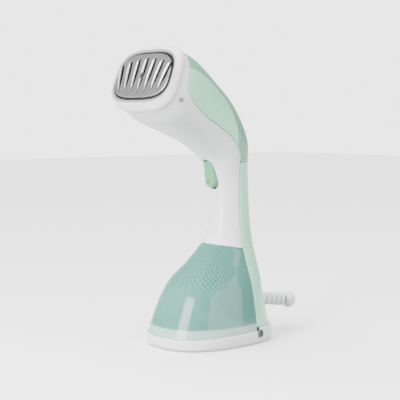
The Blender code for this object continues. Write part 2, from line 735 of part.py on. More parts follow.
def cord_guard():
    """Ribbed strain relief with a collar inside the bush and a round end."""
    ribs, pitch, first = 5, 6.6, 8.2
    profile = [(-12.6, 3.6), (-12.0, 5.6), (-10.4, 5.6), (-9.6, 4.2)]
    for i in range(ribs):
        start = first + i * pitch
        profile += [(start, 4.4), (start + 0.6, 6.5), (start + 4.0, 6.5), (start + 4.6, 4.4)]
    ball, ball_radius = first + ribs * pitch + 7.8, 8.2
    for degrees in (146, 120, 90, 60, 35, 12):
        turn = math.radians(degrees)
        profile.append((ball + ball_radius * 0.82 * math.cos(turn), ball_radius * math.sin(turn)))
    guard = turned("cord_guard", guard_point(0), guard_axis(), profile, STOCK["white"], 16)
    return pivot_at(guard, guard_point(0))


# ---------------------------------------------------------------- tank
def tank_prism(inset, low_front, low_slope):
    """Region in front of the split and under the seam, inset from both."""
    rear = -GAP - inset
    roof = GAP + inset
    front = -120.0
    low_rear = low_front + (rear - front) * low_slope
    outline = [(rear, low_rear), (rear, seam_z(rear) - roof), (front, seam_z(front) - roof), (front, low_front)]
    return prism("region", outline, 80)


def lower_solid(name, inset, low, high, material, steps):
    heights = [low + (high - low) * i / steps for i in range(steps + 1)]
    return loft(name, [level_ring(z, inset) for z in heights], material)


def tank_shell():
    """Clear water tank: flat at the back, open at the foot, with a valve hole and a filler hole."""
    shell = lower_solid("tank_shell", 0.0, 8.0, 104.0, STOCK["tank"], 10)
    carve(shell, tank_prism(0.0, rim_z(-120.0) + GAP, RIM_SLOPE), "INTERSECT")
    hollow = lower_solid("hollow", WALL, 4.0, 104.0, STOCK["guide"], 10)
    carve(hollow, tank_prism(WALL, 0.0, 0.0), "INTERSECT")
    carve(shell, hollow)
    carve(shell, turned("valve_hole", (0, VALVE_Y, 70), (0, 0, 1), ((0, 6.4), (40, 6.4)), STOCK["guide"], 20))
    filler = turned("fill_hole", (0, -12, FILL_Z), (0, 1, 0), ((0, 8.4), (20, 8.4)), STOCK["guide"], 20)
    return smooth(carve(shell, filler))


def tank_base():
    """White foot: floor of the tank in front, sole of the rear half behind."""
    profile = ((0.0, -2.0), (1.0, -0.7), (2.6, 0.0), (7.0, 0.4), (BASE_REAR_HEIGHT, 0.0))
    rings = []
    for z, extra in profile:
        ring = superellipse(BASE_HALF[0] + extra, BASE_HALF[1] + extra, 2.6)
        rings.append([(x, BASE_CENTRE_Y - v, z) for x, v in ring])
    foot = loft("tank_base", rings, STOCK["white"])
    above = [(0.0, rim_z(0.0)), (0.0, 40), (-120, 40), (-120, rim_z(-120.0))]
    carve(foot, prism("above", above, 80))
    lip = lower_solid("lip", WALL + GAP, 6.0, LIP_TOP, STOCK["white"], 2)
    carve(lip, tank_prism(WALL + GAP, 5.0, 0.0), "INTERSECT")
    carve(foot, lip, "UNION")
    basin = lower_solid("basin", WALL + GAP + 1.8, BASE_FLOOR, LIP_TOP + 4, STOCK["guide"], 2)
    carve(basin, tank_prism(WALL + GAP + 1.8, 0.0, 0.0), "INTERSECT")
    carve(foot, basin)
    well = lower_solid("well", WALL + 8.0, BASE_FLOOR, LIP_TOP, STOCK["guide"], 2)
    carve(well, box("behind", (-80, 4.5, 0), (80, 80, 40), STOCK["guide"]), "INTERSECT")
    carve(foot, well)
    for side in (-1, 1):
        axis = button_axis(side)
        start = button_point(side) - axis * 7.4
        carve(foot, turned("bore", start, axis, ((0, 4.2), (14, 4.2)), STOCK["guide"], 20))
    return smooth(foot)


def tank_valve():
    """Silicone valve in the tank's roof that the suction port pushes open."""
    top = seam_z(VALVE_Y) - 3.6
    outer = ((-8.0, 4.4), (-1.6, 6.0), (2.2, 6.0))
    inner = ((-12.0, 3.0), (6.0, 3.0))
    return turned_wall("tank_valve", (0, VALVE_Y, top), (0, 0, 1), outer, inner, STOCK["seal"], 18)


def intake_tube():
    points = ((0, VALVE_Y, 74.0), (0, VALVE_Y - 1, 60), (0, VALVE_Y - 5, 40), (0, VALVE_Y - 9, 22.0))
    return wire("intake_tube", spline_through(points, 4), 1.8, STOCK["hose"], sides_level=1)


def intake_filter():
    profile = ((0, 4.4), (1.0, 5.0), (6.4, 5.0), (7.6, 3.4), (9.0, 3.0))
    return turned("intake_filter", (0, VALVE_Y - 9.8, 12.0), (0, 0, 1), profile, STOCK["grey"], 16)


def fill_plug():
    """Silicone plug in the tank's flat back."""
    profile = ((-4.6, 7.0), (-3.0, 8.0), (-0.5, 8.0))
    return turned("fill_plug", (0, -GAP, FILL_Z), (0, 1, 0), profile, STOCK["seal"], 20)


def button_point(side):
    """Where a release button meets the base's flank."""
    y = BUTTON_Y
    share = abs(y - BASE_CENTRE_Y) / (BASE_HALF[1] + 0.4)
    x = (BASE_HALF[0] + 0.4) * (1 - share ** 2.6) ** (1 / 2.6)
    return Vector((side * x, y, BUTTON_Z))


def button_axis(side):
    """The flank's outward direction at the button."""
    point = button_point(side)
    slope_x = (abs(point.x) / BASE_HALF[0]) ** 1.6 / BASE_HALF[0]
    slope_y = (abs(point.y - BASE_CENTRE_Y) / BASE_HALF[1]) ** 1.6 / BASE_HALF[1]
    return Vector((side * slope_x, slope_y, 0)).normalized()


def release_button(side, name):
    profile = ((-5.0, 1.3), (-2.6, 1.3), (-2.6, 3.8), (0.2, 3.8), (0.7, 3.2))
    button = turned(name, button_point(side), button_axis(side), profile, STOCK["mint"], 24)
    return pivot_at(button, button_point(side))


def button_spring(side, name):
    axis = button_axis(side)
    return coil(name, button_point(side) - axis * 7.0, axis, 2.4, 3.8, 2, STOCK["steel"])


# ---------------------------------------------------------------- materials and assembly
STOCK = {}
HEAD = None


def stock_materials():
    STOCK["white"] = make_material("white_plastic", (0.86, 0.86, 0.87), 0.3)
    STOCK["green"] = make_material("green_plastic", (0.52, 0.72, 0.58), 0.25)
    STOCK["mint"] = make_material("mint_plastic", (0.40, 0.66, 0.50), 0.3)
    STOCK["tank"] = make_material("tinted_tank", (0.42, 0.66, 0.62), 0.08, alpha=0.5)
    STOCK["grey"] = make_material("grey_plastic", (0.45, 0.45, 0.46), 0.4)
    STOCK["seal"] = make_material("black_silicone", (0.03, 0.03, 0.03), 0.6)
    STOCK["steel"] = make_material("steel", (0.62, 0.62, 0.62), 0.3, metallic=1.0)
    STOCK["cast"] = make_material("cast_aluminium", (0.55, 0.55, 0.55), 0.5, metallic=1.0)
    STOCK["copper"] = make_material("coil_winding", (0.55, 0.27, 0.12), 0.4)
    STOCK["hose"] = make_material("silicone_hose", (0.85, 0.85, 0.82), 0.5, alpha=0.8)
    STOCK["board"] = make_material("circuit_board", (0.05, 0.25, 0.12), 0.5)
    STOCK["guide"] = make_material("guide", (0.5, 0.5, 0.5), 0.5)


def build():
    global HEAD
    clear_scene()
    stock_materials()
    HEAD = head_axes()
    front_shell()
    back_cover()
    rear_cover()
    chassis_plate()
    handle_bulkhead()
    head_bezel()
    trim_ring()
    plate_gasket()
    steam_plate()
    plate_screw()
    steam_chamber()
    chamber_seal()
    chamber_cover()
    for index in range(len(SCREW_PLACES)):
        chamber_screw(index)
    heating_element()
    thermostat()
    thermal_fuse()
    brush_socket(1, "brush_socket_right")
    brush_socket(-1, "brush_socket_left")
    trigger()
    trigger_bracket()
    trigger_pin()
    trigger_spring()
    microswitch()
    switch_plunger()
    pump_yoke()
    pump_coil()
    pump_tube()
    pump_piston()
    pump_spring()
    hose("suction_hose", SUCTION_ROUTE, 2)
    hose("delivery_hose", delivery_route(), 3)
    suction_port()
    control_board()
    terminal_block()
    mains_lead()
    guard_bush()
    cord_guard()
    cord_clamp()
    tank_shell()
    tank_base()
    tank_valve()
    intake_tube()
    intake_filter()
    fill_plug()
    for side, word in ((1, "right"), (-1, "left")):
        release_button(side, f"release_button_{word}")
        button_spring(side, f"button_spring_{word}")


build()
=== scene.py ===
"""Looks of the handheld garment steamer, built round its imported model.

Shapes are worked out in millimetres, with Y measured from the body's split plane as in the
part's own source, and become metres in the row frame when a mesh is made. The body's outer
surface is one lofted surface. Each shell is the stretch of it where an edge function is
positive, closed with a rounded rim, a wall and an inner face.
"""

import json
import math

import bpy
import bmesh
import numpy as np
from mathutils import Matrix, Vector


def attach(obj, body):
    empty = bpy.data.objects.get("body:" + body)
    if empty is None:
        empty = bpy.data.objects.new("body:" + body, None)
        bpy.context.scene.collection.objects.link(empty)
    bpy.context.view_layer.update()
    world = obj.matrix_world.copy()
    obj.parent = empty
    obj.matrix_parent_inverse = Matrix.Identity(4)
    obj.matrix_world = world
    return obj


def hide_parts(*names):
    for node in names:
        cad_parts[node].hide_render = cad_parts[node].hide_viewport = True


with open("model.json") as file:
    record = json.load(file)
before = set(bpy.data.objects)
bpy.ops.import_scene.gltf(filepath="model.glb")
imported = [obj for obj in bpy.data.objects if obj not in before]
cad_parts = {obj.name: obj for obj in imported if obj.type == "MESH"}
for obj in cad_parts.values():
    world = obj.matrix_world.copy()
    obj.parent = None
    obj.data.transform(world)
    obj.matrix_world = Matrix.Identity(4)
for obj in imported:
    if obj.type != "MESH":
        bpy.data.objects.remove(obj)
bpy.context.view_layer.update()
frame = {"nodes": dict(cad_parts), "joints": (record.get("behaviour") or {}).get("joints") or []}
NODES = frame["nodes"]

# ---- places, from the frame (mm)
MM = 0.001
PIVOT = next(Vector(j["pos_m"]) / MM for j in frame["joints"] if j["name"] == "trigger_hinge")
SPLIT_Y = PIVOT.y + 12.5                  # the axle sits 12.5 mm in front of the split plane
PLATE_CENTRE = (0.0, -100.8, 252.2)
PLATE_TILT = math.radians(22)
RING_HALF = (43.0, 25.6)
SLOT_COUNT = 7
PLATE_FACE = 2.4                          # the plate's face over the head's datum plane
PLATE_EXPONENT, PLATE_TAPER = 3.2, 0.04   # of the plate's rounded outline
PLATE_HOLE = 2.7                          # radius of its middle hole
GAP = 0.35
WALL = 2.2
SEAM_FRONT, SEAM_SLOPE = (-25.0, 94.0), -0.19
JOINT_Z = 172.5
RIM_FRONT, RIM_SLOPE = (-85.0, 10.6), 0.021
BASE_REAR_HEIGHT = 15.0
BASE_HALF, BASE_CENTRE_Y = (46.5, 62.0), -23.0
BASE_EXPONENT, BASE_SWELL = 2.6, 0.4      # of its outline, and how far its widest level stands out
LIP_TOP = 20.0
TRIGGER_FOOT_Z, TRIGGER_FOOT_RADIUS = 147.6, 6.6
GUARD_START, GUARD_DROP = (35.5, 34.8), math.radians(8.5)
BUTTON_Y, BUTTON_Z = 3.0, 9.5
VALVE_Y, VALVE_HOLE = -8.5, 6.4
FILL_Z, FILL_HOLE = 58.0, 8.4
SOCKET_LEAN = math.radians(18)
SOCKET_PLACE = (41.6, -16.6, -16.0)       # in the head's axes
FAR = 50.0                                # stands for "nowhere near" in a distance

# Body sections from the bezel down to the base: y, z, pitch, half width, half depth, exponent, taper
STATIONS = np.array((
    (-93.4, 249.2, 22, 44.2, 31.5, 2.9, 0.05),
    (-77.0, 240.0, 26, 43.0, 34.0, 2.8, 0.03),
    (-55.0, 227.0, 34, 38.5, 31.5, 2.6, 0.00),
    (-28.5, 209.8, 48, 31.0, 29.0, 2.4, 0.00),
    (-6.7, 185.5, 66, 23.3, 24.8, 2.3, 0.00),
    (0.1, 158.0, 80, 18.0, 20.1, 2.2, 0.00),
    (2.0, 132.0, 88, 17.3, 19.9, 2.2, 0.00),
    (1.9, 108.0, 90, 18.8, 22.0, 2.2, 0.00),
    (-1.1, 92.0, 90, 22.4, 27.0, 2.2, 0.00),
    (-7.5, 75.5, 90, 28.4, 36.2, 2.3, 0.00),
    (-16.5, 57.0, 90, 36.5, 47.6, 2.4, 0.00),
    (-21.8, 34.0, 90, 42.2, 54.6, 2.5, 0.00),
    (-23.5, 9.0, 90, 45.8, 62.0, 2.6, 0.00),
))
# Edge between the white front shell and the green rear covers: y, z
SPLIT_OUTLINE = (
    (-75.0, 288.0), (-80.5, 268.0), (-84.0, 251.0), (-84.5, 240.0), (-80.0, 231.0), (-69.0, 222.5),
    (-54.5, 214.0), (-36.5, 206.0), (-20.0, 197.5), (-10.5, 190.0), (-4.0, 181.0), (-1.5, 170.0),
    (0.0, 152.0),
)
# The rear cover's character line: angle back from the side (degrees) at some stations
CREASE = ((0.0, 14.0), (0.8, 21.0), (1.6, 24.6), (2.5, 25.0), (3.0, 21.5), (3.4, 15.7), (3.75, 5.0),
          (4.3, -12.0), (5.2, -40.0))
CREASE_HEIGHT = 1.3
RIM_RADIUS = 0.55
SOLE_START = 0.05                         # where the base's skin starts round its sole pad
LOWER_BODY = STATIONS[6:]
SPLIT_TOP, SPLIT_FOOT, FRONT_Y = SPLIT_OUTLINE[0][1], -40.0, -300.0


# ---- curves and fields
def catmull(rows, at):
    """Catmull-Rom values of rows of numbers at the positions in at."""
    rows = np.asarray(rows, float)
    last = len(rows) - 1
    at = np.clip(np.asarray(at, float), 0, last)
    i = np.minimum(at.astype(int), last - 1)
    t = (at - i)[..., None]
    a, b = rows[np.maximum(i - 1, 0)], rows[i]
    c, d = rows[i + 1], rows[np.minimum(i + 2, last)]
    bend, twist = 2 * a - 5 * b + 4 * c - d, 3 * b - a - 3 * c + d
    return 0.5 * (2 * b + (c - a) * t + bend * t ** 2 + twist * t ** 3)


def smooth_step(value, low, high):
    t = np.clip((value - low) / (high - low), 0, 1)
    return t * t * (3 - 2 * t)


def soft_min(a, b, radius):
    """The smaller of two distances, with their corner rounded to about radius."""
    blend = np.maximum(radius - np.abs(a - b), 0) / radius
    return np.minimum(a, b) - blend * blend * radius * 0.25


def polyline_distance(y, z, line):
    """Distance from points to an open line of y, z points."""
    best = np.full(np.shape(y), 1e9)
    for (y0, z0), (y1, z1) in zip(line, line[1:]):
        dy, dz = y1 - y0, z1 - z0
        share = np.clip(((y - y0) * dy + (z - z0) * dz) / (dy * dy + dz * dz), 0, 1)
        best = np.minimum(best, np.hypot(y - y0 - share * dy, z - z0 - share * dz))
    return best


def inside_polygon(y, z, polygon):
    inside = np.zeros(np.shape(y), bool)
    for (y0, z0), (y1, z1) in zip(polygon, polygon[1:] + polygon[:1]):
        if z0 == z1:
            continue
        crosses = (z0 > z) != (z1 > z)
        inside ^= crosses & (y < (y1 - y0) * (z - z0) / (z1 - z0) + y0)
    return inside


SPLIT_LINE = [tuple(p) for p in catmull(SPLIT_OUTLINE, np.linspace(0, len(SPLIT_OUTLINE) - 1, 97))]
SPLIT_LINE.append((0.0, SPLIT_FOOT))


def ahead_of_split(points):
    """Distance to the split in the upright middle plane, positive in front of it."""
    y, z = points[..., 1], points[..., 2]
    distance = polyline_distance(y, z, SPLIT_LINE)
    front = inside_polygon(y, z, SPLIT_LINE + [(FRONT_Y, SPLIT_FOOT), (FRONT_Y, SPLIT_TOP)])
    return np.where(front | (z > SPLIT_TOP), distance, -distance)


def above_seam(points):
    """Height over the sloping joint between handle and tank."""
    lift = points[..., 2] - SEAM_FRONT[1] - (points[..., 1] - SEAM_FRONT[0]) * SEAM_SLOPE
    return lift / math.hypot(1, SEAM_SLOPE)


def seam_z(y):
    return SEAM_FRONT[1] + (y - SEAM_FRONT[0]) * SEAM_SLOPE


def along_and_off(points, origin, axis):
    """Distances of points along an axis and off it."""
    off = points - np.array(origin)
    along = off @ np.array(axis)
    return along, np.linalg.norm(off - along[..., None] * np.array(axis), axis=-1)


def rim_z(y):
    return RIM_FRONT[1] + (y - RIM_FRONT[0]) * RIM_SLOPE


# ---- the body's outer surface
def polar_ring(half_x, half_v, exponent, angle):
    """Superellipse in polar form, so that points stay evenly spread: x and v."""
    c, s = np.cos(angle), np.sin(angle)
    reach = (np.abs(c / half_x) ** exponent + np.abs(s / half_v) ** exponent) ** (-1 / exponent)
    return reach * c, reach * s


def crease_lift(station, angle, half_v):
    """Height of the character line's ridge over the plain section, on the rear covers only."""
    places, degrees = zip(*CREASE)
    ridge = np.interp(station, places, degrees)
    back = -np.degrees(np.arctan2(np.sin(angle), np.abs(np.cos(angle))))
    off = (back - ridge) * np.radians(1) * half_v
    shape = np.where(off > 0, np.exp(-np.abs(off) / 5.0), np.exp(-np.abs(off) / 9.0))
    fade = smooth_step(station, 0.1, 0.9) * (1 - smooth_step(station, 3.3, 4.3))
    return CREASE_HEIGHT * shape * fade


def body_point(station, angle):
    row = catmull(STATIONS, station)
    y, z, pitch, half_x, half_v, exponent, taper = np.moveaxis(row, -1, 0)
    x, v = polar_ring(half_x, half_v, exponent, angle)
    swell = 1 + crease_lift(station, angle, half_v) / np.hypot(x, v)
    x, v = x * swell * (1 + taper * v / half_v), v * swell
    lean = np.radians(pitch)
    return np.stack([x, y - v * np.sin(lean), z - v * np.cos(lean)], -1)


def base_point(level, angle):
    """The base's outside: level 0 is the middle of its sole, 1 its lower edge, 2 above its rim."""
    profile = catmull(((0.0, -44.0), (0.0, -20.0), (0.0, -6.0), (0.15, -2.6), (0.9, -0.9), (2.6, 0.0),
                       (7.0, BASE_SWELL), (12.0, 0.25), (18.0, 0.0)), np.asarray(level) * 4.0)
    height, grow = np.moveaxis(profile, -1, 0)
    x, v = polar_ring(BASE_HALF[0] + grow, BASE_HALF[1] + grow, BASE_EXPONENT, angle)
    return np.stack([x, BASE_CENTRE_Y - v, np.broadcast_to(height, x.shape)], -1)


# ---- meshes
def new_object(name, data):
    item = bpy.data.objects.new(name, data)
    bpy.context.collection.objects.link(item)
    return item


def add_mesh(name, points, faces, material, sharp=40):
    """One smooth-shaded piece from points in mm, Y from the split plane."""
    points = np.asarray(points, float) + (0.0, SPLIT_Y, 0.0)
    mesh = bpy.data.meshes.new(name)
    mesh.from_pydata((points * MM).tolist(), [], faces)
    mesh.validate()
    work = bmesh.new()
    work.from_mesh(mesh)
    bmesh.ops.recalc_face_normals(work, faces=work.faces)
    work.to_mesh(mesh)
    work.free()
    mesh.shade_smooth()
    mesh.set_sharp_from_angle(angle=math.radians(sharp))
    mesh.materials.append(material)
    return new_object(name, mesh)


def mesh_points(item):
    """A piece's points in mm, with Y from the split plane."""
    points = np.empty(len(item.data.vertices) * 3)
    item.data.vertices.foreach_get("co", points)
    return points.reshape(-1, 3) / MM - np.array((0.0, SPLIT_Y, 0.0))


def store(item, name, values):
    """Keep a value at each point, for the piece's material to read."""
    attribute = item.data.attributes.new(name, "FLOAT", "POINT")
    attribute.data.foreach_set("value", values.astype(np.float32))


def finish_piece(item, body, slot, *nodes):
    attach(item, body)
    if nodes:
        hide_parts(*nodes)
    return item


class Shell:
    """The stretch of a surface where edge(points, along) is positive, as a closed wall."""
    probe = 0.05                          # step of the differences, as a share of a grid step
    near = 3.0                            # field value within which a point may be snapped
    snap_share = 0.36                     # how far it may move, as a share of a grid step
    rim_turns = [math.radians(a) for a in (25, 50, 75, 90)]

    def __init__(self, surface, edge, span, rows, columns, wall, rim=RIM_RADIUS):
        self.surface, self.edge, self.wall, self.rim = surface, edge, wall, rim
        self.rows, self.columns = rows, columns
        self.step = ((span[1] - span[0]) / (rows - 1), math.tau / columns)
        along, angle = np.meshgrid(
            np.linspace(span[0], span[1], rows), np.arange(columns) * self.step[1], indexing="ij")
        self.along, self.angle = along.ravel(), angle.ravel()
        self.low, self.high = span
        self.snap()
        self.clip()

    def field(self, along, angle):
        points = self.surface(along, angle)
        return self.edge(points, along) - self.rim

    def slopes(self, along, angle):
        """Tangents, unit normal and the field's slope on the surface, by differences."""
        small = (self.step[0] * self.probe, self.step[1] * self.probe)
        before, after = np.maximum(along - small[0], self.low), np.minimum(along + small[0], self.high)
        width = (after - before)[:, None]
        tangent_a = (self.surface(after, angle) - self.surface(before, angle)) / width
        tangent_b = (self.surface(along, angle + small[1]) - self.surface(along, angle - small[1]))
        tangent_b /= 2 * small[1]
        normal = np.cross(tangent_a, tangent_b)
        normal /= np.maximum(np.linalg.norm(normal, axis=1), 1e-9)[:, None]
        field_a = (self.field(after, angle) - self.field(before, angle)) / width[:, 0]
        field_b = self.field(along, angle + small[1]) - self.field(along, angle - small[1])
        field_b /= 2 * small[1]
        ee = (tangent_a ** 2).sum(1)
        ff = (tangent_a * tangent_b).sum(1)
        gg = (tangent_b ** 2).sum(1)
        size = np.maximum(ee * gg - ff * ff, 1e-12)
        move_a = (gg * field_a - ff * field_b) / size
        move_b = (ee * field_b - ff * field_a) / size
        steep = np.maximum(field_a * move_a + field_b * move_b, 1e-9)
        slope = tangent_a * move_a[:, None] + tangent_b * move_b[:, None]
        return normal, slope, move_a / steep, move_b / steep, np.sqrt(steep), np.sqrt(ee), np.sqrt(gg)

    def settle(self, along, angle, times=3):
        """Move surface points onto the edge."""
        for _ in range(times):
            value = self.field(along, angle)
            _, _, da, db, _, _, _ = self.slopes(along, angle)
            along = np.clip(along - np.clip(value * da, -self.step[0], self.step[0]), self.low, self.high)
            angle = angle - np.clip(value * db, -self.step[1], self.step[1])
        return along, angle

    def snap(self):
        """Pull grid points that lie near the edge onto it, so that no sliver is cut."""
        value = self.field(self.along, self.angle)
        index = np.nonzero(np.abs(value) < self.near)[0]
        _, _, _, _, steep, la, lb = self.slopes(self.along[index], self.angle[index])
        reach = self.snap_share * np.minimum(la * self.step[0], lb * self.step[1])
        close = index[np.abs(value[index]) / steep < reach]
        self.along[close], self.angle[close] = self.settle(self.along[close], self.angle[close])
        value[close] = 0.0
        self.value = value

    def clip(self):
        """Keep whole quads, and cut the ones that the edge crosses."""
        rows, columns = self.rows, self.columns
        row, column = np.arange(rows - 1)[:, None] * columns, np.arange(columns)[None, :]
        base = (row + column).ravel()
        beside = (row + (column + 1) % columns).ravel()
        quads = np.stack([base, beside, beside + columns, base + columns], 1)
        corner = self.value[quads]
        whole = (corner >= 0).all(1) & (corner > 0).any(1)
        mixed = (corner > 0).any(1) & (corner < 0).any(1)
        faces = [tuple(q) for q in quads[whole].tolist()]
        cuts, new_along, new_angle = {}, [], []
        total = rows * columns
        for quad in quads[mixed].tolist():
            face = []
            for a, b in zip(quad, quad[1:] + quad[:1]):
                va, vb = self.value[a], self.value[b]
                if va >= 0:
                    face.append(a)
                if va * vb < 0:
                    key = (min(a, b), max(a, b))
                    if key not in cuts:
                        share = va / (va - vb)
                        turn = self.angle[b] - self.angle[a]
                        turn -= math.tau * round(turn / math.tau)
                        cuts[key] = total + len(cuts)
                        new_along.append(self.along[a] + (self.along[b] - self.along[a]) * share)
                        new_angle.append(self.angle[a] + turn * share)
                    face.append(cuts[key])
            if len(face) > 2:
                faces.append(tuple(face))
        if new_along:
            along, angle = self.settle(np.array(new_along), np.array(new_angle))
            self.along = np.concatenate([self.along, along])
            self.angle = np.concatenate([self.angle, angle])
        self.faces = faces

    def build(self, name, material, detail=None):
        """The closed wall: outside, rounded rim, inside."""
        used = sorted({v for face in self.faces for v in face})
        place = {v: i for i, v in enumerate(used)}
        faces = [[place[v] for v in face] for face in self.faces]
        along, angle = self.along[used], self.angle[used]
        outer = self.surface(along, angle)
        normal, slope, _, _, _, _, _ = self.slopes(along, angle)
        middle = section_middle(self.surface, along)
        normal = normal * np.sign(((outer - middle) * normal).sum())
        if detail is not None:
            outer = outer + normal * detail(outer, along, self.field(along, angle))[:, None]
        count = len(used)
        points = [outer, outer - normal * self.wall]
        edges = {}
        for face in faces:
            for a, b in zip(face, face[1:] + face[:1]):
                edges[(a, b)] = (b, a) not in edges
                if not edges[(a, b)]:
                    edges[(b, a)] = False
        border = [edge for edge, single in edges.items() if single]
        rim = sorted({v for edge in border for v in edge})
        outward = -slope[rim] / np.maximum(np.linalg.norm(slope[rim], axis=1), 1e-9)[:, None]
        for turn in self.rim_turns:
            points.append(outer[rim] + outward * self.rim * math.sin(turn)
                          - normal[rim] * self.rim * (1 - math.cos(turn)))
        points.append(outer[rim] + outward * self.rim - normal[rim] * self.wall)
        result = faces + [[v + count for v in face[::-1]] for face in faces]
        order = {v: i for i, v in enumerate(rim)}
        levels = len(self.rim_turns) + 1
        for a, b in border:
            chain_a = [a] + [2 * count + k * len(rim) + order[a] for k in range(levels)] + [a + count]
            chain_b = [b] + [2 * count + k * len(rim) + order[b] for k in range(levels)] + [b + count]
            for k in range(len(chain_a) - 1):
                result.append([chain_b[k], chain_a[k], chain_a[k + 1], chain_b[k + 1]])
        return add_mesh(name, np.concatenate(points), result, material)


def section_middle(surface, along):
    """A point inside the surface at each position, to tell out from in."""
    return 0.5 * (surface(along, np.zeros_like(along)) + surface(along, np.full_like(along, math.pi)))


def ring_loft(name, rings, material, caps=True, sharp=40):
    """A closed solid through rings of equal count; without caps the last ring joins the first."""
    count = len(rings[0])
    points = np.concatenate([np.asarray(r, float) for r in rings])
    faces = []
    last = len(rings) - 1 if caps else len(rings)
    for row in range(last):
        after = (row + 1) % len(rings)
        for i in range(count):
            j = (i + 1) % count
            faces.append((row * count + i, row * count + j, after * count + j, after * count + i))
    if caps:
        faces.append(tuple(range(count)))
        faces.append(tuple(range(len(points) - count, len(points))))
    return add_mesh(name, points, faces, material, sharp)


def turned(name, origin, axis, profile, material, sides=64, caps=True, sharp=40):
    """A turned piece from (distance along the axis, radius) steps."""
    along = Vector(axis).normalized()
    across = along.orthogonal().normalized()
    third = along.cross(across)
    rings = []
    for distance, radius in profile:
        ring = []
        for i in range(sides):
            turn = math.tau * i / sides
            spoke = across * math.cos(turn) + third * math.sin(turn)
            ring.append(Vector(origin) + along * distance + spoke * radius)
        rings.append(ring)
    return ring_loft(name, rings, material, caps, sharp)


# ---- materials
def material_nodes(name):
    material = bpy.data.materials.new(name)
    material.use_nodes = True
    tree = material.node_tree
    return material, tree, tree.nodes["Principled BSDF"]


def feed(tree, node, values):
    """Fill a node's inputs by name, each with a constant or with another node's output."""
    for name, value in values.items():
        if isinstance(value, bpy.types.NodeSocket):
            tree.links.new(value, node.inputs[name])
        else:
            node.inputs[name].default_value = value


def noise(tree, scale, detail=2.0, rough=0.5, stretch=(1, 1, 1)):
    place = tree.nodes.new("ShaderNodeTexCoord")
    mapping = tree.nodes.new("ShaderNodeMapping")
    texture = tree.nodes.new("ShaderNodeTexNoise")
    feed(tree, mapping, {"Scale": stretch, "Vector": place.outputs["Object"]})
    feed(tree, texture, {"Scale": scale, "Detail": detail, "Roughness": rough,
                         "Vector": mapping.outputs["Vector"]})
    return texture.outputs["Fac"]


def spread(tree, value, low, high):
    """Noise's middle range, stretched to run from low to high."""
    node = tree.nodes.new("ShaderNodeMapRange")
    feed(tree, node, {"From Min": 0.3, "From Max": 0.7, "To Min": low, "To Max": high, "Value": value})
    return node.outputs["Result"]


def mix(tree, share, first, second, kind="MIX"):
    """Mix two colours by a share. Each is a constant or another node's output."""
    node = tree.nodes.new("ShaderNodeMix")
    node.data_type = "RGBA"
    node.blend_type = kind
    feed(tree, node, {"Factor": share, "A": first, "B": second})
    return node.outputs["Result"]


def two_tone(tree, factor, first, second):
    return mix(tree, factor, (*first, 1), (*second, 1))


def stored(tree, name):
    """A value that store() kept at each point."""
    node = tree.nodes.new("ShaderNodeAttribute")
    node.attribute_name = name
    return node.outputs["Fac"]


def bump(tree, shader, height, strength, distance):
    node = tree.nodes.new("ShaderNodeBump")
    feed(tree, node, {"Strength": strength, "Distance": distance, "Height": height})
    feed(tree, shader, {"Normal": node.outputs["Normal"]})


def shade(colour, factor):
    return tuple(min(c * factor, 1.0) for c in colour)


def moulded(name, colour, roughness, grain=900.0, grain_depth=0.000012, mottle=0.03):
    """Injection-moulded plastic: faint flow mottling, fine grain and uneven gloss."""
    material, tree, shader = material_nodes(name)
    tone = two_tone(tree, noise(tree, 14.0, 3.0), shade(colour, 1 - mottle), shade(colour, 1 + mottle))
    gloss = spread(tree, noise(tree, 60.0, 4.0, 0.6), roughness * 0.88, roughness * 1.12)
    feed(tree, shader, {"Base Color": tone, "Roughness": gloss})
    bump(tree, shader, noise(tree, grain), 0.5, grain_depth)
    return material


def metal(name, colour, roughness, stretch=(1, 1, 1), scale=700.0, depth=0.00002):
    """Metal with fine drawn or brushed lines."""
    material, tree, shader = material_nodes(name)
    lines = noise(tree, scale, 3.0, 0.6, stretch)
    tone = two_tone(tree, lines, shade(colour, 0.88), shade(colour, 1.1))
    gloss = spread(tree, noise(tree, 90.0, 3.0), roughness * 0.8, roughness * 1.2)
    feed(tree, shader, {"Base Color": tone, "Roughness": gloss, "Metallic": 1.0})
    bump(tree, shader, lines, 0.5, depth)
    return material


def tank_material(name, woven):
    """Tinted clear plastic. The woven one has painted shade in the hollows and a painted highlight on the
    ridges of its relief, and a painted lighter band at its foot for the lit collar seen through the wall.
    """
    material, tree, shader = material_nodes(name)
    tint = two_tone(tree, noise(tree, 18.0, 3.0), (0.075, 0.280, 0.225), (0.095, 0.320, 0.262))
    if woven:
        # painted shade in the weave's hollows and painted highlight on its ridges
        relief_shade_and_highlight = two_tone(tree, stored(tree, "weave_shade_and_highlight"), (0.42, 0.55, 0.58), (1.75, 1.45, 1.5))
        tint = mix(tree, 1.0, tint, relief_shade_and_highlight, "MULTIPLY")
        # painted light: a paler band at the foot, standing in for the lit white collar seen through the wall
        tint = mix(tree, stored(tree, "collar"), tint, (0.50, 0.72, 0.62, 1))
    feed(tree, shader, {"Base Color": tint, "Roughness": spread(tree, noise(tree, 40.0, 3.0), 0.10, 0.16),
                        "Alpha": 0.64, "IOR": 1.5, "Coat Weight": 0.3, "Coat Roughness": 0.04})
    bump(tree, shader, noise(tree, 45.0), 0.25, 0.0002)
    return material


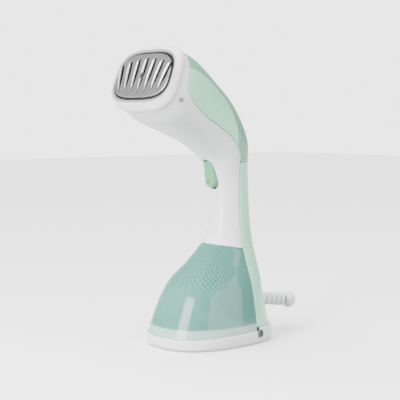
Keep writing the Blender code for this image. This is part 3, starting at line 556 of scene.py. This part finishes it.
def plate_material():
    """Satin plate, with painted shade inside its slots and a painted highlight on the ridges beside them."""
    material, tree, shader = material_nodes("plate_metal")
    ramp = tree.nodes.new("ShaderNodeValToRGB")
    # near black in the sunk slots is painted shade, 0.95 on the proud ridges is a painted highlight
    slot_shade_and_ridge_highlight_tones = ((0.0, 0.012), (0.22, 0.03), (0.42, 0.30), (0.55, 0.33), (0.85, 0.95))
    for _ in range(len(slot_shade_and_ridge_highlight_tones) - 2):
        ramp.color_ramp.elements.new(0.5)
    for element, (place, tone) in zip(ramp.color_ramp.elements, slot_shade_and_ridge_highlight_tones):
        element.position = place
        element.color = (tone, tone, tone * 1.01, 1)
    feed(tree, ramp, {"Fac": stored(tree, "relief_shade_and_highlight")})
    tone = mix(tree, 0.15, ramp.outputs["Color"], noise(tree, 1200.0), "MULTIPLY")
    gloss = spread(tree, noise(tree, 90.0, 3.0), 0.34, 0.44)
    feed(tree, shader, {"Base Color": tone, "Roughness": gloss, "Metallic": 0.85})
    bump(tree, shader, noise(tree, 1200.0), 0.4, 0.00001)
    return material


def cover_material():
    """Green cover, with painted shade: a darker green painted behind the character line, where the spine
    faces away from the light.
    """
    material, tree, shader = material_nodes("green_plastic")
    # painted shade: darker green behind the character line
    colour = two_tone(tree, stored(tree, "spine_shade"), GREEN, SHADED_SPINE_GREEN)
    tone = mix(tree, 0.06, colour, noise(tree, 16.0, 3.0), "MULTIPLY")
    gloss = spread(tree, noise(tree, 60.0, 4.0, 0.6), 0.20, 0.26)
    feed(tree, shader, {"Base Color": tone, "Roughness": gloss})
    bump(tree, shader, noise(tree, 900.0), 0.4, 0.000010)
    return material


WHITE = (0.80, 0.80, 0.815)
GREEN = (0.37, 0.83, 0.53)
# Darker green painted as shade on the spine behind the character line
SHADED_SPINE_GREEN = (0.15, 0.42, 0.245)
MINT = (0.100, 0.340, 0.165)

LOOKS = {
    "white": moulded("white_plastic", WHITE, 0.30),
    "inner": moulded("inner_plastic", (0.70, 0.70, 0.68), 0.5, grain=500.0, grain_depth=0.00003),
    "green": cover_material(),
    "mint": moulded("mint_plastic", MINT, 0.34, mottle=0.04),
    "mark": moulded("mark_plastic", shade(MINT, 0.45), 0.4, mottle=0.04),
    "button": moulded("button_plastic", (0.060, 0.105, 0.075), 0.38, mottle=0.05),
    "tank": tank_material("tinted_tank", True),
    "tank_wall": tank_material("tinted_tank_wall", False),
    "lip": moulded("lip_plastic", (0.80, 0.82, 0.81), 0.35),
    "grey": moulded("grey_plastic", (0.235, 0.235, 0.24), 0.42, mottle=0.05),
    "ring": moulded("ring_plastic", (0.27, 0.27, 0.275), 0.36, mottle=0.05),
    "seal": moulded("black_silicone", (0.012, 0.012, 0.012), 0.55, grain=400.0, mottle=0.2),
    "plug": moulded("plug_silicone", (0.30, 0.34, 0.31), 0.5, grain=400.0, mottle=0.08),
    "black": moulded("black_plastic", (0.02, 0.02, 0.02), 0.45, mottle=0.15),
    "hose": moulded("silicone_hose", (0.74, 0.74, 0.68), 0.42, grain=300.0, mottle=0.06),
    "cable": moulded("cable_sheath", (0.72, 0.72, 0.72), 0.45, mottle=0.04),
    "plate": plate_material(),
    "screw": metal("screw_steel", (0.42, 0.42, 0.43), 0.28, (1, 1, 6)),
    "spring": metal("spring_steel", (0.50, 0.50, 0.52), 0.25, (1, 1, 4)),
    "element": metal("element_steel", (0.36, 0.35, 0.34), 0.42, (3, 1, 1)),
    "cast": metal("cast_aluminium", (0.50, 0.50, 0.51), 0.55, (1, 1, 1), 350.0, 0.00012),
    "copper": metal("coil_winding", (0.48, 0.20, 0.08), 0.35, (1, 1, 12), 300.0, 0.00012),
    "board": moulded("circuit_board", (0.03, 0.16, 0.07), 0.4, grain=250.0, grain_depth=0.00005, mottle=0.25),
}

NODE_LOOKS = {
    "inner": ("chassis_plate", "handle_bulkhead", "trigger_bracket", "terminal_block", "pump_tube"),
    "mint": ("switch_plunger",),
    "grey": ("thermal_fuse", "suction_port", "cord_clamp", "intake_filter"),
    "seal": ("chamber_seal", "tank_valve"),
    "plug": ("fill_plug",),
    "black": ("microswitch",),
    "screw": ("chamber_screw_1", "chamber_screw_2", "chamber_screw_3", "chamber_screw_4", "trigger_pin",
              "pump_piston"),
    "spring": ("trigger_spring", "pump_spring", "button_spring_right", "button_spring_left"),
    "element": ("heating_element", "thermostat", "pump_yoke"),
    "cast": ("steam_chamber", "chamber_cover"),
    "copper": ("pump_coil",),
    "hose": ("suction_hose", "delivery_hose", "intake_tube"),
    "board": ("control_board",),
    "cable": ("mains_lead",),
}


def dress_nodes():
    """Give the inner nodes that stay on show their own finish."""
    for look, names in NODE_LOOKS.items():
        for name in names:
            mesh = NODES[name].data
            mesh.materials.clear()
            mesh.materials.append(LOOKS[look])


# ---- body shells
def trigger_outline(swell=0.0, steps=24):
    """Teardrop in x, z: narrow at the top, round at the foot."""
    centre_z, radius = TRIGGER_FOOT_Z + TRIGGER_FOOT_RADIUS, TRIGGER_FOOT_RADIUS + swell
    top_z, top_radius = PIVOT.z - 1.2, 6.2 + swell
    foot = [math.radians(190 + 160 * i / steps) for i in range(steps + 1)]
    top = [math.radians(4 + 172 * i / (steps // 2)) for i in range(steps // 2 + 1)]
    points = [(radius * math.cos(t), centre_z + radius * math.sin(t)) for t in foot]
    points += [(top_radius * math.cos(t), top_z + top_radius * math.sin(t)) for t in top]
    return points


def clear_of_trigger(points):
    """Distance outside the trigger's opening, on the handle's front."""
    x, y, z = points[..., 0], points[..., 1], points[..., 2]
    drop = np.where(z < TRIGGER_FOOT_Z + TRIGGER_FOOT_RADIUS, 1.2, 0.0)
    outline = trigger_outline(0.35)
    closed = outline + outline[:1]
    distance = polyline_distance(x, z + drop, closed)
    distance = np.where(inside_polygon(x, z + drop, outline), -distance, distance)
    return np.where(y < -14.0, distance, FAR)


def socket_place(side):
    """Brush socket: origin and axis in body coordinates."""
    x, v, w = SOCKET_PLACE
    origin = head_to_body((side * x, v, w))
    tip = head_to_body((side * (x + math.cos(SOCKET_LEAN)), v - math.sin(SOCKET_LEAN), w))
    return origin, tip - origin


def head_to_body(point):
    """A point in the head's axes (across, up the plate, out of it) in body coordinates."""
    x, v, w = point
    c, s = math.cos(PLATE_TILT), math.sin(PLATE_TILT)
    return Vector((x, PLATE_CENTRE[1] + v * s - w * c, PLATE_CENTRE[2] + v * c + w * s))


def clear_of_sockets(points):
    best = np.full(points.shape[:-1], FAR)
    for side in (-1, 1):
        along, radial = along_and_off(points, *socket_place(side))
        best = np.where(np.abs(along) < 12, np.minimum(best, radial - 2.25), best)
    return best


def along_edge(along, start, scale):
    return (along - start) * scale


def front_edge(points, along):
    value = soft_min(ahead_of_split(points) - GAP * 0.3, above_seam(points) - GAP * 0.5, 1.5)
    value = np.minimum(value, clear_of_trigger(points))
    value = np.minimum(value, clear_of_sockets(points))
    return np.minimum(value, along_edge(along, 0.0, 19.0))


def back_edge(points, along):
    value = soft_min(-ahead_of_split(points) - GAP, points[..., 2] - JOINT_Z - GAP, 1.5)
    return np.minimum(value, along_edge(along, 0.0, 19.0))


def rear_edge(points, along):
    value = soft_min(-ahead_of_split(points) - GAP, JOINT_Z - points[..., 2], 3.0)
    value = soft_min(value, points[..., 2] - BASE_REAR_HEIGHT - GAP, 1.0)
    distance, radial = along_and_off(points, guard_point(0), guard_axis())
    return np.where(np.abs(distance) < 15, np.minimum(value, radial - 9.0), value)


def spine_shade_weight(station, angle):
    """1 behind the character line, where the green is darkened as painted shade, 0 in front of it."""
    places, degrees = zip(*CREASE)
    back = -np.degrees(np.arctan2(np.sin(angle), np.abs(np.cos(angle))))
    return smooth_step(back - np.interp(station, places, degrees), -0.6, 0.6)


def paint_spine_shade(item, shell):
    """Store which side of the character line each point lies on, for the shade painted behind it."""
    used = sorted({v for face in shell.faces for v in face})
    weight = np.zeros(len(item.data.vertices))
    weight[:len(used)] = spine_shade_weight(shell.along[used], shell.angle[used])
    store(item, "spine_shade", weight)


def front_shell():
    shell = Shell(body_point, front_edge, (0.0, 8.6), 250, 216, WALL)
    item = shell.build("handle_front_shell", LOOKS["white"])
    finish_piece(item, "body", "white_plastic", "front_shell")


def back_cover():
    shell = Shell(body_point, back_edge, (0.0, 5.2), 170, 216, WALL)
    item = shell.build("upper_rear_cover", LOOKS["green"])
    paint_spine_shade(item, shell)
    finish_piece(item, "body", "green_plastic", "back_cover")


def rear_cover():
    shell = Shell(body_point, rear_edge, (4.0, 12.0), 200, 200, WALL)
    item = shell.build("lower_rear_cover", LOOKS["green"])
    finish_piece(item, "body", "green_plastic", "rear_cover")


# ---- head
def head_ring(half, w, exponent=PLATE_EXPONENT, taper=PLATE_TAPER, count=192):
    """Ring round the head's axis, w in front of its datum plane."""
    angle = np.arange(count) * math.tau / count
    x, v = polar_ring(half[0], half[1], exponent, angle)
    return [head_to_body((a * (1 - taper * b / half[1]), b, w)) for a, b in zip(x, v)]


def grow(half, amount):
    return half[0] + amount, half[1] + amount


def head_bezel():
    flare = ((-7.3, 43.9, 31.3), (-6.9, 44.8, 32.3), (-5.6, 45.1, 32.4), (-3.8, 45.0, 31.6),
             (-2.4, 44.8, 30.3), (-1.0, 44.4, 28.7), (0.2, 44.2, 27.6), (0.9, 43.95, 26.8),
             (1.2, 43.6, 26.3))
    rings = [head_ring((x, v), w, 3.05, 0.045) for w, x, v in flare]
    throat = grow(RING_HALF, GAP)
    rings += [head_ring(throat, w) for w in (0.9, -4.6)]
    rings += [head_ring((41.6, 28.4), w, 3.0, 0.045) for w in (-6.2, -7.3)]
    item = ring_loft("head_bezel_ring", rings, LOOKS["white"], caps=False)
    finish_piece(item, "body", "white_plastic", "head_bezel")


def trim_ring():
    steps = ((0.0, -4.0), (0.0, 0.5), (-0.2, 1.0), (-0.7, 1.3), (-1.4, 1.25), (-1.8, 0.9), (-2.0, 0.3),
             (-2.0, -4.0))
    rings = [head_ring(grow(RING_HALF, step), w) for step, w in steps]
    item = ring_loft("plate_trim_ring", rings, LOOKS["ring"], caps=False)
    finish_piece(item, "body", "grey_plastic", "trim_ring")


def plate_gasket():
    steps = ((-2.3, -6.0), (-2.3, 0.2), (-2.7, 0.7), (-3.4, 0.8), (-3.8, 0.4), (-3.8, -6.0))
    rings = [head_ring(grow(RING_HALF, step), w) for step, w in steps]
    item = ring_loft("plate_seal", rings, LOOKS["seal"], caps=False)
    finish_piece(item, "body", "black_silicone", "plate_gasket")


def slot_place(index):
    """Foot and top of a steam slot: they fan out towards the top."""
    number = index - SLOT_COUNT // 2
    reach = 18.0 - 1.1 * abs(number) ** 1.5
    foot_drop = 17.6 - 0.3 * abs(number)
    return (number * 9.6, -foot_drop), (number * 12.0, reach)


def plate_height(x, v):
    """Relief of the steam plate: a spindle-shaped slot beside a raised louvre, seven times."""
    height = np.zeros_like(x)
    for index in range(SLOT_COUNT):
        (x0, v0), (x1, v1) = slot_place(index)
        length = math.hypot(x1 - x0, v1 - v0)
        ux, uv = (x1 - x0) / length, (v1 - v0) / length
        along = ((x - x0) * ux + (v - v0) * uv) / length
        side = (x - x0) * uv - (v - v0) * ux
        half = 0.6 + 2.3 * smooth_step(along, 0.0, 0.62) * (1 - 0.35 * smooth_step(along, 0.75, 1.0))
        ends = smooth_step(along, -0.01, 0.05) * (1 - smooth_step(along, 0.97, 1.01))
        slot = (1 - smooth_step(side, half * 0.75, half * 1.0)) * smooth_step(side, -half * 0.35, 0.0) * ends
        crest = (side + half * 0.75) / (0.45 + half * 0.35)
        louvre = np.exp(-crest ** 2) * smooth_step(along, 0.02, 0.3) * (1 - smooth_step(along, 0.90, 1.0))
        height += 1.0 * louvre - 1.6 * slot
        if index != SLOT_COUNT // 2:
            boss = np.hypot(side - half * 0.2, (along - 0.52) * length)
            height -= 0.5 * (1 - smooth_step(boss, 1.1, 1.7))
    collar = np.hypot(x, v)
    return np.where(collar < 3.4, np.minimum(height, 0.0) * smooth_step(collar, 2.6, 3.4), height)


def plate_reach(x, v, half):
    """How far out points lie in the plate: 0 in its middle, 1 on its outline."""
    narrow = 1 - PLATE_TAPER * v / half[1]
    return np.abs(x / narrow / half[0]) ** PLATE_EXPONENT + np.abs(v / half[1]) ** PLATE_EXPONENT


def steam_plate():
    """Pressed plate, as a fine height field inside its rounded outline."""
    half = grow(RING_HALF, -4.0)
    size_x, size_v = 420, 230
    xs, vs = np.linspace(-half[0] - 1, half[0] + 1, size_x), np.linspace(-half[1], half[1], size_v)
    grid_x, grid_v = np.meshgrid(xs, vs)
    hole = np.hypot(grid_x, grid_v) < PLATE_HOLE
    keep = (plate_reach(grid_x, grid_v, half) < 0.97) & ~hole
    number = -np.ones(grid_x.shape, int)
    cells = keep[:-1, :-1] & keep[1:, :-1] & keep[:-1, 1:] & keep[1:, 1:]
    used = np.zeros(grid_x.shape, bool)
    for dv in (0, 1):
        for dx in (0, 1):
            used[dv:size_v - 1 + dv, dx:size_x - 1 + dx] |= cells
    number[used] = np.arange(used.sum())
    px, pv = grid_x[used], grid_v[used]
    rim = (1.0 - plate_reach(px, pv, half)) * 7.0
    top = PLATE_FACE + plate_height(px, pv) - 0.7 * (1 - smooth_step(rim, 0.2, 1.0)) ** 2
    points = [head_to_body((a, b, w)) for a, b, w in zip(px, pv, top)]
    count = len(points)
    points += [head_to_body((a, b, PLATE_FACE - 2.3)) for a, b in zip(px, pv)]
    r, c = np.nonzero(cells)
    quads = np.stack([number[r, c], number[r, c + 1], number[r + 1, c + 1], number[r + 1, c]], 1).tolist()
    faces = quads + [[v + count for v in q[::-1]] for q in quads]
    seen = set()
    for q in quads:
        for a, b in zip(q, q[1:] + q[:1]):
            seen.add((a, b))
    for a, b in seen:
        if (b, a) not in seen:
            faces.append([b, a, a + count, b + count])
    item = add_mesh("slotted_steam_plate", points, faces, LOOKS["plate"], 50)
    store_plate_shade_and_highlight(item)
    finish_piece(item, "body", "plate_metal", "steam_plate")


def store_plate_shade_and_highlight(item):
    """Store how far each point stands from the plate's face: 1 proud of it, 0 sunk, 0.5 level. The plate's
    material paints shade in the slots and a highlight on the ridges from it.
    """
    points = mesh_points(item) - np.array(PLATE_CENTRE)
    c, s = math.cos(PLATE_TILT), math.sin(PLATE_TILT)
    height = plate_height(points[:, 0], points[:, 1] * s + points[:, 2] * c)
    store(item, "relief_shade_and_highlight", np.clip(0.5 + height * 0.5, 0, 1))


def plate_screw():
    top = PLATE_FACE + 0.1
    profile = [(top - 6.0, 1.0), (top - 1.3, 1.0), (top - 1.3, 2.3), (top - 0.5, 2.3), (top - 0.15, 2.1),
               (top, 1.6), (top - 0.2, 1.2), (top - 0.9, 1.0), (top - 0.9, 0.2)]
    item = turned("centre_screw", head_to_body((0, 0, 0)), plate_out(), profile, LOOKS["seal"], 40)
    finish_piece(item, "body", "screw_steel", "plate_screw")


def plate_out():
    return (0, -math.cos(PLATE_TILT), math.sin(PLATE_TILT))


def brush_sockets():
    for side, word in ((1, "right"), (-1, "left")):
        origin, axis = socket_place(side)
        profile = [(-3.0, 2.1), (1.6, 2.1), (2.05, 1.9), (2.25, 1.5), (2.0, 1.1), (1.5, 0.9), (1.4, 0.3)]
        item = turned(f"brush_socket_cap_{word}", origin, axis, profile, LOOKS["grey"], 40)
        finish_piece(item, "body", "grey_plastic", f"brush_socket_{word}")


# ---- trigger
def trigger():
    """Finger pad: curved front with a rounded edge and a drop mark."""
    outline = np.array(trigger_outline(0.0, 48))
    centre = np.array((0.0, TRIGGER_FOOT_Z + 10.0))
    rings = []
    steps = ((1.0, 10.0), (1.0, 2.6), (0.985, 1.7), (0.94, 0.95), (0.87, 0.5), (0.76, 0.2), (0.6, 0.05),
             (0.4, 0.0), (0.2, 0.0), (0.05, 0.0))
    for share, behind in steps:
        ring = []
        for x, z in (outline - centre) * share + centre:
            ring.append((x, finger_face(z) + behind, z))
        rings.append(ring)
    pad = ring_loft("trigger_pad", rings, LOOKS["mint"])
    finish_piece(pad, "trigger", "mint_plastic", "trigger")
    finish_piece(drop_mark(), "trigger", "mint_plastic")


def finger_face(z):
    """How far forward the pad's face stands: upright at its foot, swept out at its top."""
    return -24.2 - 0.0045 * (z - TRIGGER_FOOT_Z) ** 2


def drop_outline(size, steps=40):
    """A water drop, point up, in x, z about its middle."""
    points = []
    for i in range(steps):
        turn = math.tau * i / steps
        x = size * 0.62 * math.sin(turn) * math.sin(turn / 2) ** 1.4
        points.append((x, -size * math.cos(turn) * -0.9))
    return points


def drop_mark():
    """Thin raised outline of a drop on the finger pad."""
    middle_z = TRIGGER_FOOT_Z + 6.4
    rings = []
    for size, lift in ((2.9, 0.15), (2.75, -0.3), (2.15, -0.3), (2.0, 0.15)):
        ring = []
        for x, z in drop_outline(size):
            ring.append((x, finger_face(middle_z + z) + lift, middle_z + z))
        rings.append(ring)
    return ring_loft("trigger_drop_mark", rings, LOOKS["mark"], caps=False, sharp=60)


# ---- cord guard
def guard_axis():
    return Vector((0, math.cos(GUARD_DROP), -math.sin(GUARD_DROP)))


def guard_point(distance):
    return Vector((0, *GUARD_START)) + guard_axis() * distance


def cord_guard():
    """Ribbed sleeve with a round end."""
    ribs, pitch, first = 5, 6.6, 8.2
    profile = [(-12.6, 3.4), (-12.0, 5.4), (-10.4, 5.4), (-9.6, 3.9)]
    for i in range(ribs):
        start = first + i * pitch
        profile += [(start + step, radius) for step, radius in
                    ((-0.3, 3.9), (-0.1, 5.8), (0.5, 6.45), (2.3, 6.6), (4.1, 6.45), (4.7, 5.8), (4.9, 3.9))]
    ball, radius = first + ribs * pitch + 7.8, 8.2
    profile += [(ball + radius * 0.82 * math.cos(t), radius * math.sin(t))
                for t in np.radians((148, 135, 120, 105, 90, 75, 60, 48, 36, 26, 18, 12))]
    profile += [(ball + radius * 0.70, 1.4)]
    item = turned("ribbed_cord_guard", guard_point(0), guard_axis(), profile, LOOKS["white"], 72)
    finish_piece(item, "cord_guard", "white_plastic", "cord_guard")
    # Black core that shows at the bottom of the gaps between the ribs: a dark sleeve put there as painted
    # shade in the gaps.
    profile = ((3.0, 3.2), (3.0, 4.3), (ball - 6.0, 4.3), (ball - 6.0, 3.2))
    gap_shade_core = turned("cord_guard_gap_shade_core", guard_point(0), guard_axis(), profile, LOOKS["black"], 48)
    finish_piece(gap_shade_core, "cord_guard", "white_plastic")
    profile = ((-9.0, 4.7), (-9.0, 8.7), (0.9, 8.7), (1.7, 8.5), (2.15, 8.0), (2.3, 7.2), (2.2, 5.2),
               (1.6, 4.7))
    bush = turned("guard_bush_ring", guard_point(0), guard_axis(), profile, LOOKS["white"], 72, caps=False)
    finish_piece(bush, "body", "white_plastic", "guard_bush")


# ---- tank unit
def tank_edge(points, along):
    value = soft_min(ahead_of_split(points) - GAP, -above_seam(points) - GAP, 1.5)
    lower = points[..., 2] - rim_z(points[..., 1]) - GAP
    return soft_min(value, lower, 1.0)


def tank_weave(points):
    """Two families of diagonal ridges over the upper front: -1 in the hollows, 1 on the ridges."""
    x, y, z = points[:, 0], points[:, 1], points[:, 2]
    turned_by = np.degrees(np.arctan2(x, -(y + 12.0)))
    across = turned_by * 0.62
    turn = math.pi / 3.8
    rising = np.abs(np.sin((across + z * 0.85) * turn))
    falling = np.abs(np.sin((across - z * 0.85) * turn))
    fade = smooth_step(z, 48.0, 62.0) * smooth_step(74 - np.abs(turned_by), 0.0, 20.0)
    return (1.0 - 2.0 * np.minimum(rising, falling) ** 0.6) * fade


def tank_texture(points, along, edge):
    return 0.25 * tank_weave(points) * smooth_step(edge, 1.0, 4.0)


def tank_shell():
    shell = Shell(body_point, tank_edge, (7.4, 12.0), 300, 420, 1.6)
    item = shell.build("water_tank", LOOKS["tank"], tank_texture)
    points = mesh_points(item)
    # weave height kept for the painted shade and highlight of the tank's relief
    store(item, "weave_shade_and_highlight", 0.5 + 0.5 * tank_weave(points))
    # weight of the painted light band at the tank's foot, for the lit collar seen through the wall
    store(item, "collar", 0.8 * (1 - smooth_step(points[:, 2], LIP_TOP - 1.2, LIP_TOP - 0.2)))
    finish_piece(item, "tank", "tinted_tank", "tank_shell")


def section_at(z):
    """The lower body's section at height z: its middle's y, half sizes and exponent."""
    level = np.interp(-z, -LOWER_BODY[:, 1], np.arange(len(LOWER_BODY)))
    centre, _, _, half_x, half_v, exponent, _ = catmull(LOWER_BODY, level)
    return centre, half_x, half_v, exponent


def half_width(z, y, inset):
    """Half width of the body at height z on the upright plane at y."""
    centre, half_x, half_v, exponent = section_at(z)
    share = min(abs(y - centre) / half_v, 1.0)
    return half_x * (1 - share ** exponent) ** (1 / exponent) - inset


def outline_to_hole(outline, centre, radius):
    """Points of a hole's circle, matched to an outline's points by their direction."""
    ring = []
    for a, b in outline:
        turn = math.atan2(b - centre[1], a - centre[0])
        ring.append((centre[0] + radius * math.cos(turn), centre[1] + radius * math.sin(turn)))
    return ring


def tank_back():
    """Flat rear wall of the tank with the filler's hole."""
    y = -GAP - 0.5
    top = seam_z(y) - 1.2
    heights = np.linspace(rim_z(y) + 1.0, top, 40)
    right = [(half_width(z, y, 0.9), z) for z in heights]
    outline = right + [(x, top) for x in np.linspace(right[-1][0], -right[-1][0], 20)[1:-1]]
    outline += [(-x, z) for x, z in right[::-1]]
    outline += [(x, heights[0]) for x in np.linspace(-right[0][0], right[0][0], 40)[1:-1]]
    hole = outline_to_hole(outline, (0.0, FILL_Z), FILL_HOLE)
    rings = [[(x, at, z) for x, z in line] for line, at in
             ((outline, y), (hole, y), (hole, y - 1.6), (outline, y - 1.6))]
    item = ring_loft("tank_rear_wall", rings, LOOKS["tank_wall"], caps=False)
    finish_piece(item, "tank", "tinted_tank")


def tank_roof():
    """Sloping roof of the tank with the valve's hole."""
    angle = np.arange(120) * math.tau / 120
    outline = []
    for turn in angle:
        x, v = polar_ring(21.2, 25.2, 2.2, turn)
        outline.append((float(x), min(-0.4 - float(v), -2.0)))
    hole = outline_to_hole(outline, (0.0, VALVE_Y), VALVE_HOLE)
    rings = []
    for line, drop in ((outline, 1.0), (hole, 1.0), (hole, 2.6), (outline, 2.6)):
        rings.append([(x, y, seam_z(y) - drop) for x, y in line])
    item = ring_loft("tank_roof", rings, LOOKS["tank_wall"], caps=False)
    finish_piece(item, "tank", "tinted_tank")


def base_edge(points, along):
    y, z = points[..., 1], points[..., 2]
    value = np.maximum(rim_z(y) - z, soft_min(y, BASE_REAR_HEIGHT - z, 1.0))
    for side in (-1, 1):
        distance, radial = along_and_off(points, button_point(side), button_axis(side))
        value = np.where(np.abs(distance) < 10, np.minimum(value, radial - 4.0), value)
    return np.minimum(value, along_edge(along, SOLE_START, 86.0))


def tank_base():
    shell = Shell(base_point, base_edge, (0.0, 2.0), 120, 300, 2.4, rim=0.7)
    item = shell.build("base_shell", LOOKS["white"])
    finish_piece(item, "tank", "white_plastic", "tank_base")
    sole = []
    for height, inset in ((2.3, 40.9), (0.6, 40.9), (0.25, 41.2)):
        turns = np.arange(96) * math.tau / 96
        x, v = polar_ring(BASE_HALF[0] - inset, BASE_HALF[1] - inset, BASE_EXPONENT, turns)
        sole.append([(a, BASE_CENTRE_Y - b, height) for a, b in zip(x, v)])
    finish_piece(ring_loft("sole_pad", sole, LOOKS["white"]), "tank", "white_plastic")


def level_outline(z, inset, y_limit, count=240):
    """D-shaped level section of the tank, flat at the split."""
    centre, half_x, half_v, exponent = section_at(z)
    x, v = polar_ring(half_x - inset, half_v - inset, exponent, np.arange(count) * math.tau / count)
    return [(a, min(centre - b, y_limit), z) for a, b in zip(x, v)]


def base_lip():
    """White collar of the base that stands up inside the tank."""
    inset = WALL + GAP
    rings = []
    for z, extra in ((8.0, 0.0), (LIP_TOP - 0.7, 0.0), (LIP_TOP - 0.2, 0.25), (LIP_TOP, 0.8), (LIP_TOP, 1.4),
                     (LIP_TOP - 0.5, 1.8), (8.0, 1.8)):
        rings.append(level_outline(z, inset + extra, -GAP - inset - extra))
    item = ring_loft("base_collar", rings, LOOKS["lip"], caps=False)
    finish_piece(item, "tank", "white_plastic")
    floor = []
    for z, extra in ((2.5, 1.9), (3.4, 1.9), (3.6, 2.2)):
        section = level_outline(9.0, inset + extra, -GAP - inset - extra)
        floor.append([(x, y, z) for x, y, _ in section])
    finish_piece(ring_loft("tank_floor", floor, LOOKS["lip"]), "tank", "white_plastic")


def button_point(side):
    share = abs(BUTTON_Y - BASE_CENTRE_Y) / (BASE_HALF[1] + BASE_SWELL)
    x = (BASE_HALF[0] + BASE_SWELL) * (1 - share ** BASE_EXPONENT) ** (1 / BASE_EXPONENT)
    return Vector((side * x, BUTTON_Y, BUTTON_Z))


def button_axis(side):
    point = button_point(side)
    slope_x = (abs(point.x) / BASE_HALF[0]) ** (BASE_EXPONENT - 1) / BASE_HALF[0]
    slope_y = (abs(point.y - BASE_CENTRE_Y) / BASE_HALF[1]) ** (BASE_EXPONENT - 1) / BASE_HALF[1]
    return Vector((side * slope_x, slope_y, 0)).normalized()


def release_buttons():
    """Round buttons: a raised ring round a dished middle."""
    profile = [(-5.0, 1.2), (-2.6, 1.2), (-2.6, 3.8), (0.2, 3.8), (0.6, 3.6), (0.75, 3.2), (0.6, 2.75),
               (0.0, 2.45), (-0.7, 2.2), (-1.1, 1.5), (-1.2, 0.8), (-1.2, 0.1)]
    for side, word in ((1, "right"), (-1, "left")):
        item = turned(f"release_cap_{word}", button_point(side), button_axis(side), profile,
                      LOOKS["button"], 56)
        finish_piece(item, f"release_button_{word}", "button_plastic", f"release_button_{word}")


# ---- stage, light and camera
def studio():
    floor = bpy.data.meshes.new("studio_floor")
    corners = [(x, y, -0.0003) for x, y in ((-4, -4), (4, -4), (4, 4), (-4, 4))]
    floor.from_pydata(corners, [], [(0, 1, 2, 3)])
    item = new_object("studio_floor", floor)
    material, tree, shader = material_nodes("studio_floor")
    tone = two_tone(tree, noise(tree, 3.0), (0.93, 0.93, 0.93), (0.95, 0.95, 0.95))
    feed(tree, shader, {"Base Color": tone, "Roughness": 0.9})
    floor.materials.append(material)
    item.visible_diffuse = False
    studio_world()


def studio_world():
    """White all round: bright where it is seen behind the object, softer as its light."""
    world = bpy.data.worlds.new("studio")
    world.use_nodes = True
    tree = world.node_tree
    ambient, seen = tree.nodes["Background"], tree.nodes.new("ShaderNodeBackground")
    for node, strength in ((ambient, 0.75), (seen, 3.6)):
        feed(tree, node, {"Color": (1, 1, 1, 1), "Strength": strength})
    ray, blend = tree.nodes.new("ShaderNodeLightPath"), tree.nodes.new("ShaderNodeMixShader")
    for place, output in enumerate((ray.outputs["Is Camera Ray"], ambient.outputs[0], seen.outputs[0])):
        tree.links.new(output, blend.inputs[place])
    feed(tree, tree.nodes["World Output"], {"Surface": blend.outputs[0]})
    bpy.context.scene.world = world


def softbox(name, place, target, size, energy):
    light = bpy.data.lights.new(name, "AREA")
    light.shape = "RECTANGLE"
    light.size, light.size_y = size
    light.energy = energy
    item = new_object(name, light)
    item.location = place
    item.rotation_euler = (Vector(target) - Vector(place)).to_track_quat("-Z", "Y").to_euler()


def camera():
    turn, drop = math.radians(50), math.radians(4.5)
    ahead = Vector((-math.sin(turn) * math.cos(drop), math.cos(turn) * math.cos(drop), -math.sin(drop)))
    target = Vector((0, (SPLIT_Y - 35) * MM, 0.1365))
    data = bpy.data.cameras.new("camera")
    data.sensor_width = 36
    data.lens = 94.32
    data.clip_start = 0.01
    item = new_object("camera", data)
    item.location = target - ahead
    item.rotation_euler = ahead.to_track_quat("-Z", "Y").to_euler()
    bpy.context.scene.camera = item


def sky_light():
    """Broad, even light from above, for the floor as much as for the object."""
    light = bpy.data.lights.new("overhead", "SUN")
    light.energy = 8.0
    light.angle = math.radians(70)
    item = new_object("overhead", light)
    item.rotation_euler = (math.radians(12), math.radians(-14), 0)
    item.visible_glossy = False


def lights():
    middle = (0, -0.02, 0.14)
    softbox("left_softbox", (0.20, -1.05, 0.42), middle, (0.6, 0.9), 36.0)
    softbox("right_softbox", (1.12, 0.35, 0.40), middle, (1.1, 0.9), 13.0)
    sky_light()


camera()
studio()
lights()
dress_nodes()
front_shell()
back_cover()
rear_cover()
head_bezel()
trim_ring()
plate_gasket()
steam_plate()
plate_screw()
brush_sockets()
trigger()
cord_guard()
tank_shell()
tank_back()
tank_roof()
tank_base()
base_lip()
release_buttons()
